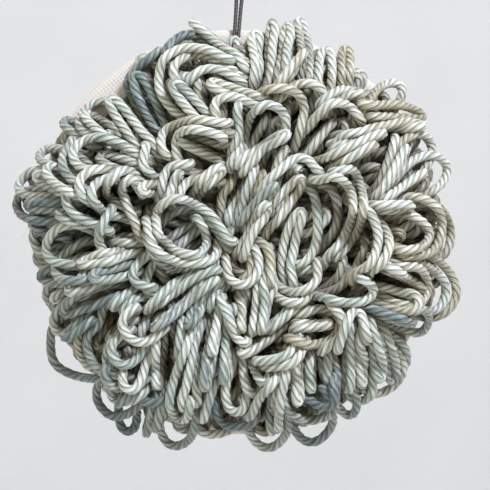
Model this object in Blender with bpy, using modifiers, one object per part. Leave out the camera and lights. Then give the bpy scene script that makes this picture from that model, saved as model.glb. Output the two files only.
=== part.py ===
"""Punch needle wall piece: a round of cotton cloth, its pile of long yarn loops and a hanging cord.

Run it with: blender --background --python part.py

Units are metres. +Z is up, the front faces -Y and the wall is the plane y = 0. The origin is the
hanging point, where the cord passes over whatever holds the piece up.
"""
import math
import random
from collections import namedtuple

import bmesh
import bpy
from mathutils import Vector, noise

MM = 0.001
GAP = 0.3 * MM                        # clearance between two pieces that touch
COLLECTION_NAME = "punch_needle_wall_piece"
GUIDES_NAME = "guides"

# Ground cloth: a round of open-weave cotton, its edge turned to the back and gathered.
CLOTH_RADIUS = 57.5 * MM
CLOTH_THICKNESS = 2.2 * MM            # one layer, packed tight by the stitches
HEM_THICKNESS = 5.0 * MM              # front layer, turned edge and gathers together
HEM_WIDTH = 12.0 * MM
HEM_SLOPE = 1.5 * MM                  # the cut edge of the hem thins out over this width
CLOTH_STEPS = 72
ROLL_STEPS = 4                        # faces round the rolled edge
EDGE_WAVE = 0.5 * MM                  # how uneven the turned edge is
EDGE_WAVE_SIZE = 0.33                 # length of a wave, in radii
EDGE_WAVE_REACH = 4                   # a high power, so that the middle of the cloth stays round
CLOTH_FRONT = -HEM_THICKNESS
DISC_CENTRE = Vector((-1.3 * MM, 0.0, -75.6 * MM))

# Yarn: an eight-ply cotton of aran weight. A loop's tube has four sides, so its corners stand
# further out than the yarn for the same volume.
YARN_DIAMETER = 2.7 * MM
TUBE_FULLNESS = 1.2
TUBE_DIAMETER = YARN_DIAMETER * TUBE_FULLNESS
TUBE_BEVEL_RESOLUTION = 0
STITCH_PITCH = 4.2 * MM               # between a loop's two legs, where they leave the bed
PITCH_AT_BELLY = 0.577                # how much of it is left where a loop is widest
BELLY_FULLNESS = 1.3                  # makes the belly's greatest half width one half of its size
LOOP_STEPS = 9                        # odd, so that a loop's tip is blunt
TIP_CROWDING = 0.35                   # draws the steps together round the tip

# Bed: the foot of the pile, where the loops stand too close to tell apart.
BED_RADIUS = 50.0 * MM
BED_RIM_HEIGHT = 5.5 * MM
BED_CROWN_HEIGHT = 8.5 * MM
BED_LUMP = 1.6 * MM
BED_LUMP_SIZE = 9.0 * MM
BED_SEGMENTS = 30
BED_RINGS = 12                        # of a whole ball, of which the front half is kept
BED_RIM_ROUNDING = 0.45               # under 1, so that the edge of the bed is steep
BED_CROWN_ROUNDING = 1.2
ROOT_DEPTH = 3.0 * MM                 # how far under the top of the bed a loop's two ends lie
FLAT = 0.001                          # on a ball of radius 1, what counts as its middle plane

# How far the pile reaches from the centre of the disc, by the hour of a clock face.
Hour = namedtuple("Hour", "hour reach gape")
CLOCK = (
    Hour(12, 60.0 * MM, 8.0 * MM),
    Hour(1, 62.0 * MM, 8.5 * MM),
    Hour(2, 62.0 * MM, 9.5 * MM),
    Hour(3, 61.0 * MM, 12.0 * MM),
    Hour(4, 63.0 * MM, 12.0 * MM),
    Hour(5, 60.5 * MM, 10.0 * MM),
    Hour(6, 61.0 * MM, 11.0 * MM),
    Hour(7, 64.0 * MM, 9.5 * MM),
    Hour(8, 57.5 * MM, 9.0 * MM),
    Hour(9, 60.5 * MM, 8.5 * MM),
    Hour(10, 59.5 * MM, 8.5 * MM),
    Hour(11, 54.5 * MM, 9.0 * MM),
)
MEAN_REACH = sum(row.reach for row in CLOCK) / len(CLOCK)

# Rings of loops, from the edge of the bed to its middle. A lean of 0 stands straight off the cloth,
# rise is how far, in lengths, a loop stands up before it leans, and sway and roll are how far, in
# degrees, it may turn away from straight outwards and about its own spine. The loops of the rim take
# their length and gape from the clock instead.
Ring = namedtuple("Ring", "name radius count first_turn length lean rise sway roll gape")
RINGS = (
    Ring("rim", 46.0 * MM, 24, 0.50, 0.0 * MM, 93.0, 0.10, 5.0, 10.0, 0.0 * MM),
    Ring("brim", 42.5 * MM, 24, 0.00, 17.5 * MM, 82.0, 0.30, 6.0, 10.0, 9.5 * MM),
    Ring("shoulder", 37.0 * MM, 22, 0.25, 18.0 * MM, 72.0, 0.40, 7.0, 16.0, 9.5 * MM),
    Ring("flank", 30.0 * MM, 18, 0.35, 18.0 * MM, 64.0, 0.42, 8.0, 20.0, 9.5 * MM),
    Ring("crown", 22.0 * MM, 13, 0.10, 17.5 * MM, 57.0, 0.44, 9.0, 25.0, 9.5 * MM),
    Ring("eye", 13.5 * MM, 8, 0.60, 17.0 * MM, 50.0, 0.44, 9.0, 30.0, 9.5 * MM),
    Ring("heart", 5.0 * MM, 4, 0.20, 15.0 * MM, 42.0, 0.46, 9.0, 30.0, 8.0 * MM),
)
LENGTH_SPREAD = 0.07
LEAN_SPREAD = 3.0
CORD_PARTING = 6.5                    # no loop of the rim or brim stands this near the cord, in degrees

# Loops that have worked loose and hang clear of the rest, at the lower left.
Stray = namedtuple("Stray", "name turn radius length lean rise sway roll gape")
STRAYS = (
    Stray("slipped_loop", 232.0, 45.0 * MM, 19.5 * MM, 92.0, 0.08, 2.0, 4.0, 16.0 * MM),
    Stray("small_slipped_loop", 214.5, 46.0 * MM, 17.0 * MM, 92.0, 0.08, 5.0, -6.0, 8.0 * MM),
)
STRAY_PARTING = 11.5                  # no loop of the rim stands this near a stray one

# Hanging cord: a waxed cord, doubled, that comes up through the cloth and over the hanging point.
# One leg's route: height from the hanging point, reach off the wall, half the space between legs.
CORD_DIAMETER = 1.0 * MM
BIGHT_RADIUS = 2.2 * MM
BIGHT_STEPS = 4
BIGHT_SET_BACK = 0.4 * MM             # the bight lies nearer the wall than the tops of the legs
CORD_LEAN = 0.073                     # sideways run of both legs for each unit of height
CORD_SMOOTHING = 2                    # stretches of tube between two points of the route
CORD_BEVEL_RESOLUTION = 2
Station = namedtuple("Station", "height reach spread")
CORD_LEG = (
    Station(-24.6 * MM, 5.30 * MM, 0.62 * MM),
    Station(-24.3 * MM, 6.30 * MM, 0.62 * MM),
    Station(-23.4 * MM, 6.95 * MM, 0.61 * MM),
    Station(-22.0 * MM, 6.95 * MM, 0.60 * MM),
    Station(-20.4 * MM, 6.50 * MM, 0.60 * MM),
    Station(-18.0 * MM, 5.95 * MM, 0.60 * MM),
    Station(-15.0 * MM, 5.30 * MM, 0.62 * MM),
    Station(-11.0 * MM, 4.50 * MM, 0.72 * MM),
    Station(-7.5 * MM, 3.75 * MM, 0.95 * MM),
    Station(-4.5 * MM, 3.15 * MM, 1.40 * MM),
    Station(-2.0 * MM, 2.60 * MM, 1.95 * MM),
)

SEED = 45


def srgb(hex_code):
    """A linear RGBA colour from an sRGB hex code."""
    channels = [int(hex_code[i:i + 2], 16) / 255.0 for i in (0, 2, 4)]
    linear = [c / 12.92 if c <= 0.04045 else ((c + 0.055) / 1.055) ** 2.4 for c in channels]
    return (*linear, 1.0)


def make_material(name, hex_code, roughness):
    """A plain material of one colour."""
    material = bpy.data.materials.new(name)
    material.use_nodes = True
    shader = material.node_tree.nodes["Principled BSDF"]
    shader.inputs["Base Color"].default_value = srgb(hex_code)
    shader.inputs["Roughness"].default_value = roughness
    shader.inputs["Metallic"].default_value = 0.0
    return material


def empty_scene():
    for old in list(bpy.data.objects):
        bpy.data.objects.remove(old, do_unlink=True)


def add_collection(name):
    collection = bpy.data.collections.new(name)
    bpy.context.scene.collection.children.link(collection)
    return collection


def add_mesh_object(name, mesh, collection):
    new_object = bpy.data.objects.new(name, mesh)
    collection.objects.link(new_object)
    return new_object


def add_tubes(name, paths, diameter, bevel_resolution, collection):
    """A curve object with one round, capped tube along each path."""
    curve = bpy.data.curves.new(name, "CURVE")
    curve.dimensions = "3D"
    curve.twist_mode = "MINIMUM"
    curve.bevel_depth = diameter / 2
    curve.bevel_resolution = bevel_resolution
    curve.use_fill_caps = True
    for path in paths:
        spline = curve.splines.new("POLY")
        spline.points.add(len(path) - 1)
        for point, place in zip(spline.points, path):
            point.co = (*place, 1.0)
    return add_mesh_object(name, curve, collection)


def bake(source):
    """Turn an object's evaluated form into a mesh of its own, with the caps of its tubes welded."""
    depsgraph = bpy.context.evaluated_depsgraph_get()
    mesh = bpy.data.meshes.new_from_object(source.evaluated_get(depsgraph))
    cage = bmesh.new()
    cage.from_mesh(mesh)
    bmesh.ops.remove_doubles(cage, verts=cage.verts, dist=0.00001)
    cage.to_mesh(mesh)
    cage.free()
    name = source.name
    collection = source.users_collection[0]
    matrix = source.matrix_world.copy()
    bpy.data.objects.remove(source, do_unlink=True)
    baked = add_mesh_object(name, mesh, collection)
    baked.matrix_world = matrix
    return baked


def outward(turn):
    """The direction of a clock position, in degrees from twelve, clockwise from the front."""
    angle = math.radians(turn)
    return Vector((math.sin(angle), 0.0, math.cos(angle)))


def by_hour(turn, field):
    """A column of the clock table, read between its hours."""
    place = (turn % 360.0) / 30.0
    before = int(place) % 12
    share = place - int(place)
    values = {row.hour % 12: getattr(row, field) for row in CLOCK}
    return values[before] * (1.0 - share) + values[(before + 1) % 12] * share


def lumps(place, size):
    """Smooth noise between -1 and 1 with lumps of about the given size."""
    return noise.noise(place / size)


def add_ground_cloth(collection):
    """The cloth: a turned profile, then a wavering edge."""
    roll_radius = HEM_THICKNESS / 2
    roll_centre = CLOTH_RADIUS - roll_radius
    hem_inside = CLOTH_RADIUS - HEM_WIDTH
    back_of_middle = CLOTH_FRONT + CLOTH_THICKNESS
    profile = [(0.0, back_of_middle), (hem_inside - HEM_SLOPE, back_of_middle), (hem_inside, 0.0)]
    for step in range(ROLL_STEPS + 1):
        angle = math.pi / 2 - math.pi * step / ROLL_STEPS
        profile.append((roll_centre + roll_radius * math.cos(angle),
                        -roll_radius + roll_radius * math.sin(angle)))
    profile.append((0.0, CLOTH_FRONT))

    mesh = bpy.data.meshes.new("ground_cloth")
    mesh.from_pydata([(radius, 0.0, depth) for radius, depth in profile],
                     [(i, i + 1) for i in range(len(profile) - 1)], [])
    cloth = add_mesh_object("ground_cloth", mesh, collection)
    screw = cloth.modifiers.new("turn", "SCREW")
    screw.steps = CLOTH_STEPS
    screw.render_steps = CLOTH_STEPS
    screw.use_merge_vertices = True
    screw.merge_threshold = 0.00001
    screw.use_normal_calculate = True
    cloth = bake(cloth)

    for vertex in cloth.data.vertices:
        across = Vector((vertex.co.x, vertex.co.y, 0.0))
        wave = EDGE_WAVE * (across.length / CLOTH_RADIUS) ** EDGE_WAVE_REACH
        across += across.normalized() * wave * lumps(across.normalized(), EDGE_WAVE_SIZE)
        vertex.co = (across.x, vertex.co.z, across.y)
    cloth.data.flip_normals()
    cloth.location = DISC_CENTRE
    cloth.data.shade_smooth()
    cloth.data.set_sharp_from_angle(angle=math.radians(50.0))
    return cloth


def bed_height(flat):
    """How thick the bed is, at a share of the way from its middle to its edge."""
    up = math.sqrt(max(0.0, 1.0 - flat ** 2))
    return BED_RIM_HEIGHT * up ** BED_RIM_ROUNDING + BED_CROWN_HEIGHT * up ** BED_CROWN_ROUNDING


def add_bed(collection):
    """The bed of the pile: a low lumpy dome with a flat back, just clear of the cloth."""
    mesh = bpy.data.meshes.new("loop_pile")
    cage = bmesh.new()
    bmesh.ops.create_uvsphere(cage, u_segments=BED_SEGMENTS, v_segments=BED_RINGS, radius=1.0)
    behind = [vertex for vertex in cage.verts if vertex.co.z < -FLAT]
    bmesh.ops.delete(cage, geom=behind, context="VERTS")
    bmesh.ops.holes_fill(cage, edges=cage.edges, sides=0)
    back = CLOTH_FRONT - GAP
    for vertex in cage.verts:
        unit = vertex.co.normalized()
        flat = min(1.0, math.hypot(unit.x, unit.y))
        turn = math.degrees(math.atan2(unit.x, unit.y))
        reach = BED_RADIUS + (by_hour(turn, "reach") - MEAN_REACH) / 2
        place = Vector((unit.x * reach, back, unit.y * reach))
        if unit.z > FLAT:
            lump = BED_LUMP * lumps(place, BED_LUMP_SIZE) * min(1.0, unit.z * 2.0)
            place.y -= bed_height(flat) + lump
        vertex.co = place
    bmesh.ops.recalc_face_normals(cage, faces=cage.faces)
    cage.to_mesh(mesh)
    cage.free()
    bed = add_mesh_object("loop_pile", mesh, collection)
    bed.location = DISC_CENTRE
    return bed


def loop_path(turn, radius, length, lean, rise, sway, roll, gape):
    """The middle line of one loop: out of the bed, round its tip and back beside itself."""
    off_cloth = Vector((0.0, -1.0, 0.0))
    root_height = HEM_THICKNESS + GAP + bed_height(radius / BED_RADIUS) - ROOT_DEPTH
    root = outward(turn) * radius + off_cloth * root_height
    heading = outward(turn + sway)
    lean_angle = math.radians(lean)
    tip = root + (heading * math.sin(lean_angle) + off_cloth * math.cos(lean_angle)) * length
    knee = root + off_cloth * length * rise
    sideways = outward(turn + sway + 90.0)
    belly = gape - YARN_DIAMETER - PITCH_AT_BELLY * STITCH_PITCH
    path = []
    for step in range(LOOP_STEPS + 1):
        angle = 2.0 * math.pi * step / LOOP_STEPS
        angle += TIP_CROWDING * math.sin(angle)
        along = (1.0 - math.cos(angle)) / 2.0
        spine = root * (1 - along) ** 2 + knee * 2 * along * (1 - along) + tip * along ** 2
        tangent = ((knee - root) * (1 - along) + (tip - knee) * along).normalized()
        face = tangent.cross(sideways).normalized()
        roll_angle = math.radians(roll) * min(1.0, along * 2.0)
        side = sideways * math.cos(roll_angle) + face * math.sin(roll_angle)
        half_gap = (STITCH_PITCH * math.cos(angle / 2)
                    + belly * BELLY_FULLNESS * math.sin(angle) * math.sin(angle / 2)) / 2
        path.append(spine + side * half_gap)
    return path


def loop_paths():
    """The middle line of every loop that stands clear of the bed."""
    chance = random.Random(SEED)
    paths = []
    for ring in RINGS:
        for i in range(ring.count):
            turn = 360.0 * (i + ring.first_turn) / ring.count
            length = ring.length * (1.0 + chance.uniform(-LENGTH_SPREAD, LENGTH_SPREAD))
            lean = ring.lean + chance.uniform(-LEAN_SPREAD, LEAN_SPREAD)
            sway = chance.uniform(-ring.sway, ring.sway)
            roll = chance.uniform(-ring.roll, ring.roll)
            radius = ring.radius * by_hour(turn, "reach") / MEAN_REACH
            gape = ring.gape
            from_top = abs((turn + 180.0) % 360.0 - 180.0)
            from_stray = min(abs(turn - stray.turn) for stray in STRAYS)
            if ring.name in ("rim", "brim") and from_top < CORD_PARTING:
                continue
            if ring.name == "rim":
                if from_stray < STRAY_PARTING:
                    continue
                throw = by_hour(turn, "reach") - radius - TUBE_DIAMETER / 2
                length = throw / math.sin(math.radians(lean))
                gape = by_hour(turn, "gape")
            paths.append(loop_path(turn, radius, length, lean, ring.rise, sway, roll, gape))
    for stray in STRAYS:
        paths.append(loop_path(stray.turn, stray.radius, stray.length, stray.lean, stray.rise,
                               stray.sway, stray.roll, stray.gape))
    return paths


def add_loop_pile(collection, guides):
    """The pile: its bed with every loop's root fused into it."""
    bed = add_bed(collection)
    loops = add_tubes("loops", loop_paths(), TUBE_DIAMETER, TUBE_BEVEL_RESOLUTION, guides)
    loops.location = DISC_CENTRE
    loops = bake(loops)
    loops.hide_render = True
    loops.display_type = "WIRE"
    union = bed.modifiers.new("fuse_roots", "BOOLEAN")
    union.operation = "UNION"
    union.solver = "EXACT"
    union.use_self = True
    union.object = loops
    return bed


def smooth_through(points, steps):
    """Points along a smooth curve that passes through the given ones."""
    ends = [points[0] * 2 - points[1], *points, points[-1] * 2 - points[-2]]
    path = []
    for before, start, end, after in zip(ends, ends[1:], ends[2:], ends[3:]):
        for step in range(steps):
            share = step / steps
            path.append(start + ((end - before) * share
                                 + (before * 2 - start * 5 + end * 4 - after) * share ** 2
                                 + (start * 3 - before - end * 3 + after) * share ** 3) * 0.5)
    return path + [points[-1]]


def cord_path():
    """The cord's middle line: up one leg, over the hanging point and down the other."""
    top = Vector((0.0, BIGHT_SET_BACK - CORD_LEG[-1].reach, 0.0))

    def leg(side):
        return [Vector((row.height * CORD_LEAN + side * row.spread, -row.reach, row.height))
                for row in CORD_LEG]

    bight = []
    for step in range(BIGHT_STEPS + 1):
        angle = math.pi - math.pi * step / BIGHT_STEPS
        bight.append(top + Vector((math.cos(angle), 0.0, math.sin(angle))) * BIGHT_RADIUS)
    return smooth_through(leg(-1) + bight + leg(1)[::-1], CORD_SMOOTHING)


def add_hanging_cord(collection):
    """The cord: one tube along its whole way."""
    cord = add_tubes("hanging_cord", [cord_path()], CORD_DIAMETER, CORD_BEVEL_RESOLUTION, collection)
    return bake(cord)


def main():
    empty_scene()
    parts = add_collection(COLLECTION_NAME)
    guides = add_collection(GUIDES_NAME)
    cloth = add_ground_cloth(parts)
    pile = add_loop_pile(parts, guides)
    cord = add_hanging_cord(parts)
    cloth.data.materials.append(make_material("cream_cotton_cloth", "ece4d4", 0.90))
    pile.data.materials.append(make_material("sage_cotton_yarn", "a3aca0", 0.70))
    cord.data.materials.append(make_material("dark_waxed_cord", "2f2b26", 0.45))


if __name__ == "__main__":
    main()
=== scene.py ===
"""Looks of a punch needle wall piece: plied cotton loops on a turned round of cloth, hung by a cord.

Units are metres. +Z is up, the front faces -Y and the wall is the plane y = 0.
"""
import math
import random
from collections import namedtuple

import bmesh
import bpy
import numpy as np
from bpy.props import FloatProperty, FloatVectorProperty, IntProperty, PointerProperty
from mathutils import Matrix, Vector, noise


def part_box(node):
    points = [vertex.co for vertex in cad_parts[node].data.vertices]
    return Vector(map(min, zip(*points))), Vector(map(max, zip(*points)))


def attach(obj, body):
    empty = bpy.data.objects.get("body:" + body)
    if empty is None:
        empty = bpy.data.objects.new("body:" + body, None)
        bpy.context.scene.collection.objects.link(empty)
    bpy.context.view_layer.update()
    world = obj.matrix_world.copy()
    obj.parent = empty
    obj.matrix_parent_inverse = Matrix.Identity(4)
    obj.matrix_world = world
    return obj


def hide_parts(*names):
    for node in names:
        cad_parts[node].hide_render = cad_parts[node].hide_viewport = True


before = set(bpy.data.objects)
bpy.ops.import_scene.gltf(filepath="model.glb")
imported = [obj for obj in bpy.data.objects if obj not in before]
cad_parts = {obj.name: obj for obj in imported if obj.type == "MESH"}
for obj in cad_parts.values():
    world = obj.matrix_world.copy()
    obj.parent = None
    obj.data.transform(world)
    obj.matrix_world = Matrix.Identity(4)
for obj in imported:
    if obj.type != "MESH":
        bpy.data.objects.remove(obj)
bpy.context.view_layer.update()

bl_info = {
    "name": "Punch Needle Wall Piece",
    "version": (1, 0, 0),
    "blender": (4, 5, 0),
    "location": "View3D > Sidebar > Punch Needle",
    "description": "Cloth, yarn loops and hanging cord of a round punch needle wall piece",
    "category": "Add Mesh",
}

MM = 0.001

# The frame gives the cloth its place and size.
CLOTH_LOW, CLOTH_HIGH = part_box("ground_cloth")
CENTRE_X = (CLOTH_LOW.x + CLOTH_HIGH.x) / 2
CENTRE_Z = (CLOTH_LOW.z + CLOTH_HIGH.z) / 2
CLOTH_FRONT = CLOTH_LOW.y
CLOTH_RADIUS = (CLOTH_HIGH.x - CLOTH_LOW.x) / 2

# The view: straight on, a little right of and below the middle of the round.
VIEW_DISTANCE = 480 * MM              # from the cloth
VIEW_WIDTH = 138.8 * MM               # how wide the picture is at the cloth
VIEW_RIGHT = 2.27 * MM
VIEW_UP = -3.68 * MM
SENSOR_WIDTH = 36.0                   # in the camera's own millimetres

# Yarn: an eight-ply cotton of aran weight, its plies laid up in four pairs.
YARN_WIDTH = 2.7                      # in millimetres, as the routes of the loops are
STEP = 1.0 * MM                       # between two rings of a strand's mesh
PLY_CROWN = 1.04                      # how far a ply stands out, as a share of the yarn's radius
GROOVE_DEPTH = 0.17                   # between two pairs of plies, as a share of the yarn's radius
SEAM_DEPTH = 0.05                     # between the two plies of a pair
FINE_STEPS = 6                        # points round each pair of plies in the loops that show
COARSE_STEPS = 4                      # and in the strands that hardly do
DYE_DRIFT = 0.12                      # how far the tint drifts up and down along a strand
DYE_LENGTH = 9 * MM
DYE_SHIFT = 17.0                      # sets the drift of each strand apart from the others

# Laying: strands come to rest on a height map, one on another.
LAY_CELL = 0.4 * MM                   # fineness of the map
LAY_HALF = 76 * MM                    # half its width
OFF_CLOTH = -1.2 * MM                 # its height where there is no cloth
SPRING = 3                            # how many times a strand is evened out over what it lies on
GIVE = 0.3 * MM                       # how far that may press it in
DIVE_RADIUS = 1.5 * MM                # how tightly a strand's end bends down into the pile
DIVE_ANGLES = (38.0, 76.0)            # how steep its two bends are, in degrees
ROOT_SINK = 1.5 * MM                  # how far its root stands in the pile's foot

# Settling: the laid strands then push each other apart, round by round.
SETTLE_ROUNDS = 70
SINK = 0.03 * MM                      # how far a strand drops in a round
HOMING = 0.08                         # share of the way back to its route, as the view sees it
STIFFNESS = 0.25                      # share of the way back to its own bend
LIFT_KEPT = 0.3                       # how much of its bend off the cloth a strand keeps
TIP_THIN = 0.94                       # how near two strands come, as a share of the yarn's width
NEIGHBOURS = 3                        # points this near along one strand don't push each other
CROWDING = 0.6                        # calms a point that several others push
BEHIND_EDGE = -1.0 * MM               # how low a strand may hang where there is no cloth
EVENINGS = 2                          # how many times the settled strands are evened out

# Pile foot: the standing feet of the loops, too close to tell apart.
FOOT_RADIUS = 50.0 * MM
FOOT_RIM = 2.5 * MM
FOOT_CROWN = 5.0 * MM
FOOT_RIM_ROUNDING = 0.4               # under 1, so that the foot's edge is steep
FOOT_CROWN_ROUNDING = 1.2
FOOT_LUMP = 0.5 * MM
FOOT_LUMP_SIZE = 3 * MM
FOOT_INSET = 0.99                     # keeps its rim under the loops
FOOT_PRESS = 0.9                      # keeps its top under them
FOOT_GAP = 0.2 * MM                   # off the cloth

# Deep yarn gets painted shade: a coarse map of the pile's top tells how far below it a strand lies.
SHADE_CELL = 1.4 * MM
SHADE_DEPTH = 5.0 * MM                # where the painted shade is darkest

# Loose fibres that stand off the yarn.
FIBRE_COUNT = 2000
FIBRE_THICKNESS = 0.05 * MM
FIBRE_LENGTHS = (1.2, 2.5)            # shortest and longest, in millimetres
FIBRE_LEANS = (0.15, 0.8)             # least and most run outwards for each unit along the strand
FIBRE_ROOT = 0.44                     # from the strand's middle, as a share of its width
FIBRE_BEND = 0.5                      # of its length
FIBRE_SHARES = (0.0, 0.33, 0.67, 1.0)
FIBRE_MARGIN = 3                      # points at a strand's ends that carry none

PAINTED_SHADE_BELOW = 0.25                   # painted shade: how far the yarn's tint moves towards the darker, cooler slate at the bottom of the round

SEED = 12


def srgb(hex_code):
    """A linear RGBA colour from an sRGB hex code."""
    channels = [int(hex_code[i:i + 2], 16) / 255.0 for i in (0, 2, 4)]
    linear = [c / 12.92 if c <= 0.04045 else ((c + 0.055) / 1.055) ** 2.4 for c in channels]
    return (*linear, 1.0)


# A hairpin loop, in the millimetres of the routes.
LEG_PITCH = 3.0                       # between its two legs where they come up
LEAST_GAPE = 0.3                      # between the middle lines of legs that press together
PITCH_AT_BELLY = 0.577                # share of the legs' spacing left where the loop is widest
BELLY_FULLNESS = 1.3                  # brings the loop's widest place to its full gape
HAIRPIN_STEPS = 12
TIP_CROWDING = 0.3                    # how much closer the route's points stand at the tip


def hairpin(root_x, root_z, tip_x, tip_z, width, bow=0.0):
    """The route of a loop seen from above, in millimetres: out from its root and back beside itself."""
    root, tip = Vector((root_x, root_z)), Vector((tip_x, tip_z))
    along = (tip - root).normalized()
    left = Vector((-along.y, along.x))
    gape = max(width - YARN_WIDTH, LEAST_GAPE)
    pitch = min(LEG_PITCH, gape)
    belly = gape - PITCH_AT_BELLY * pitch
    route = []
    for step in range(HAIRPIN_STEPS + 1):
        angle = 2.0 * math.pi * step / HAIRPIN_STEPS
        angle += TIP_CROWDING * math.sin(angle)
        share = (1.0 - math.cos(angle)) / 2.0
        half_gap = (pitch * math.cos(angle / 2)
                    + belly * BELLY_FULLNESS * math.sin(angle) * math.sin(angle / 2)) / 2
        bend = 4.0 * bow * share * (1.0 - share)
        place = root.lerp(tip, share) + left * (half_gap + bend)
        route.append((place.x, place.y))
    return route


# The loops that show, in millimetres to the right of and above the middle of the round, as the view
# sees them. They are laid in this order, from the rim, which lies lowest, to the loops on top. A tint
# of 0 is warm and olive, and 1 is slate.
Seen = namedtuple("Seen", "tint route")
RIM = (
    Seen(1.00, hairpin(-45, -1, -56.8, -3.5, 6.5)),
    Seen(1.00, hairpin(-46, 4, -58.5, 2.5, 6.5)),
    Seen(1.00, hairpin(-46, 9, -60, 9, 6.5)),
    Seen(0.90, hairpin(-45, 13, -58.5, 14.5, 6.0)),
    Seen(0.55, hairpin(4.5, 40, 5.5, 57.3, 3.2)),
    Seen(0.40, hairpin(9, 40, 10, 60, 3.2)),
    Seen(0.50, hairpin(12.5, 40, 14.3, 59.3, 3.4)),
    Seen(0.55, hairpin(19.5, 43, 17.3, 60.5, 4.6, -0.8)),
    Seen(0.40, hairpin(24.5, 38, 25.3, 52, 6.5)),
    Seen(0.20, hairpin(30.5, 36, 30.9, 52.6, 4.4)),
    Seen(0.25, ((34, 30), (36.5, 36), (40.5, 41), (45, 42.3), (47, 39.5), (44, 34))),
    Seen(0.20, hairpin(37, 34, 53, 32.5, 6.0, 1)),
    Seen(0.30, ((39, 8), (43, 17), (46, 25), (51.5, 28), (55.3, 23.5), (52, 16), (46, 10))),
    Seen(0.45, ((42, 12), (46, 16.5), (50, 20.3), (55, 21.5), (59.5, 19), (58.3, 14), (54, 10.5), (47, 8))),
    Seen(0.20, ((50, 8), (55, 8), (58.8, 5), (60.6, 0), (59.5, -5.5), (55, -8), (48, -8))),
    Seen(0.15, ((44, -5), (54.5, -7), (60, -11), (62.3, -17), (60, -22), (54.7, -24.3), (46, -22))),
    Seen(0.45, ((44, -7), (52, -8.8), (58, -13), (59, -18), (56, -22.3), (48, -21))),
    Seen(0.60, ((42, -22), (48, -23), (52.8, -21.8), (54.3, -25), (52, -28.5), (46, -27.5), (40, -26))),
    Seen(0.60, ((40, -27), (45, -30.5), (48, -34.5), (47.5, -38.5), (43, -38))),
    Seen(0.35, ((40, -30), (44, -33), (46.8, -37), (46.3, -41), (43.5, -44.3), (39, -45.8), (34, -43))),
    Seen(0.50, ((33, -38), (31.5, -44), (33, -47.3), (36, -47.8), (38.3, -45), (38, -40))),
    Seen(0.60, ((24, -36), (26, -44), (29, -50), (32.5, -52), (34, -48), (32, -42))),
    Seen(0.75, ((13, -47), (15.7, -54), (18, -58.3), (21.5, -59.7), (25, -57.5), (27.3, -53), (25, -46))),
    Seen(0.60, ((2.5, -47), (3.5, -56), (5.8, -60), (9, -61.3), (12.3, -59.5), (14.3, -55), (13.5, -47))),
    Seen(0.30, ((-12, -49), (-11.5, -55), (-8, -57.3), (-3, -56.5), (1, -53.5), (2, -48))),
    Seen(0.60, ((-21.5, -48), (-21.8, -55), (-20.3, -59.3), (-17.3, -60.8), (-14, -59.3), (-12, -56),
                (-12, -49))),
    Seen(0.75, hairpin(-23, -45, -25.8, -57.6, 2.9)),
    Seen(0.50, hairpin(-19.5, -44, -23, -56.5, 2.9)),
    Seen(0.90, ((-32.5, -45), (-33.6, -51), (-33, -55), (-31, -56.8), (-28.7, -55), (-28.3, -49),
                (-29, -45))),
    Seen(0.85, ((-33, -40), (-38.5, -43), (-39.8, -46.5), (-38.5, -49.8), (-35, -52.3), (-30, -51),
                (-27, -47))),
    Seen(0.90, ((-42, -24), (-48, -23.5), (-52, -27), (-52.8, -33), (-51.5, -37.5), (-47, -40.3),
                (-42, -41.5), (-35, -41.5))),
    Seen(0.70, ((-42, -20), (-49, -21), (-52, -24.5), (-50.5, -28.5), (-44, -28))),
    Seen(0.30, hairpin(-42, -16, -52.5, -19, 4.4)),
    Seen(0.90, hairpin(-45, -13, -55.8, -12.5, 6.2)),
    Seen(0.80, ((-49, 1.5), (-56, 1.8), (-57.8, -1), (-57, -4), (-54, -6.3), (-47, -7))),
    Seen(1.00, ((-45, 3), (-51, 5), (-55.5, 5.7), (-57.5, 3), (-55.5, 0), (-49, -1))),
    Seen(1.00, ((-49, 10), (-56, 12), (-61, 10.8), (-62.4, 7.5), (-61, 4.8), (-57, 3.2), (-49, 3))),
    Seen(0.80, ((-48, 14), (-56, 17.6), (-60.3, 15.5), (-62, 12), (-58, 10.2), (-50, 10))),
    Seen(1.00, hairpin(-48, 7.5, -59.8, 7.5, 4.6)),
    Seen(0.80, hairpin(-46, 10, -57.3, 16.2, 4.6)),
    Seen(0.75, hairpin(-43, 20, -56, 21.5, 8.0)),
    Seen(0.90, hairpin(-39, 25, -49.3, 31.3, 6.0)),
    Seen(0.60, ((-32, 33), (-36, 36.5), (-40, 36.8), (-43.2, 34.4), (-44.8, 31.5), (-43.5, 28.3),
                (-38, 27))),
    Seen(0.55, hairpin(-34, 26, -43.3, 33.5, 5.0)),
    Seen(1.05, ((-22, 37), (-28.8, 38.5), (-31.3, 41.3), (-29.4, 45.2), (-25, 49), (-20.6, 51.8),
                (-17, 48))),
    Seen(1.05, hairpin(-22, 30, -29, 45, 6.5)),
    Seen(0.95, ((-6, 49), (-9, 53.3), (-13, 56), (-17.5, 54.3), (-20, 51), (-18, 46))),
    Seen(0.55, hairpin(2.5, 47, -13.3, 60, 2.9)),
)
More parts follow.
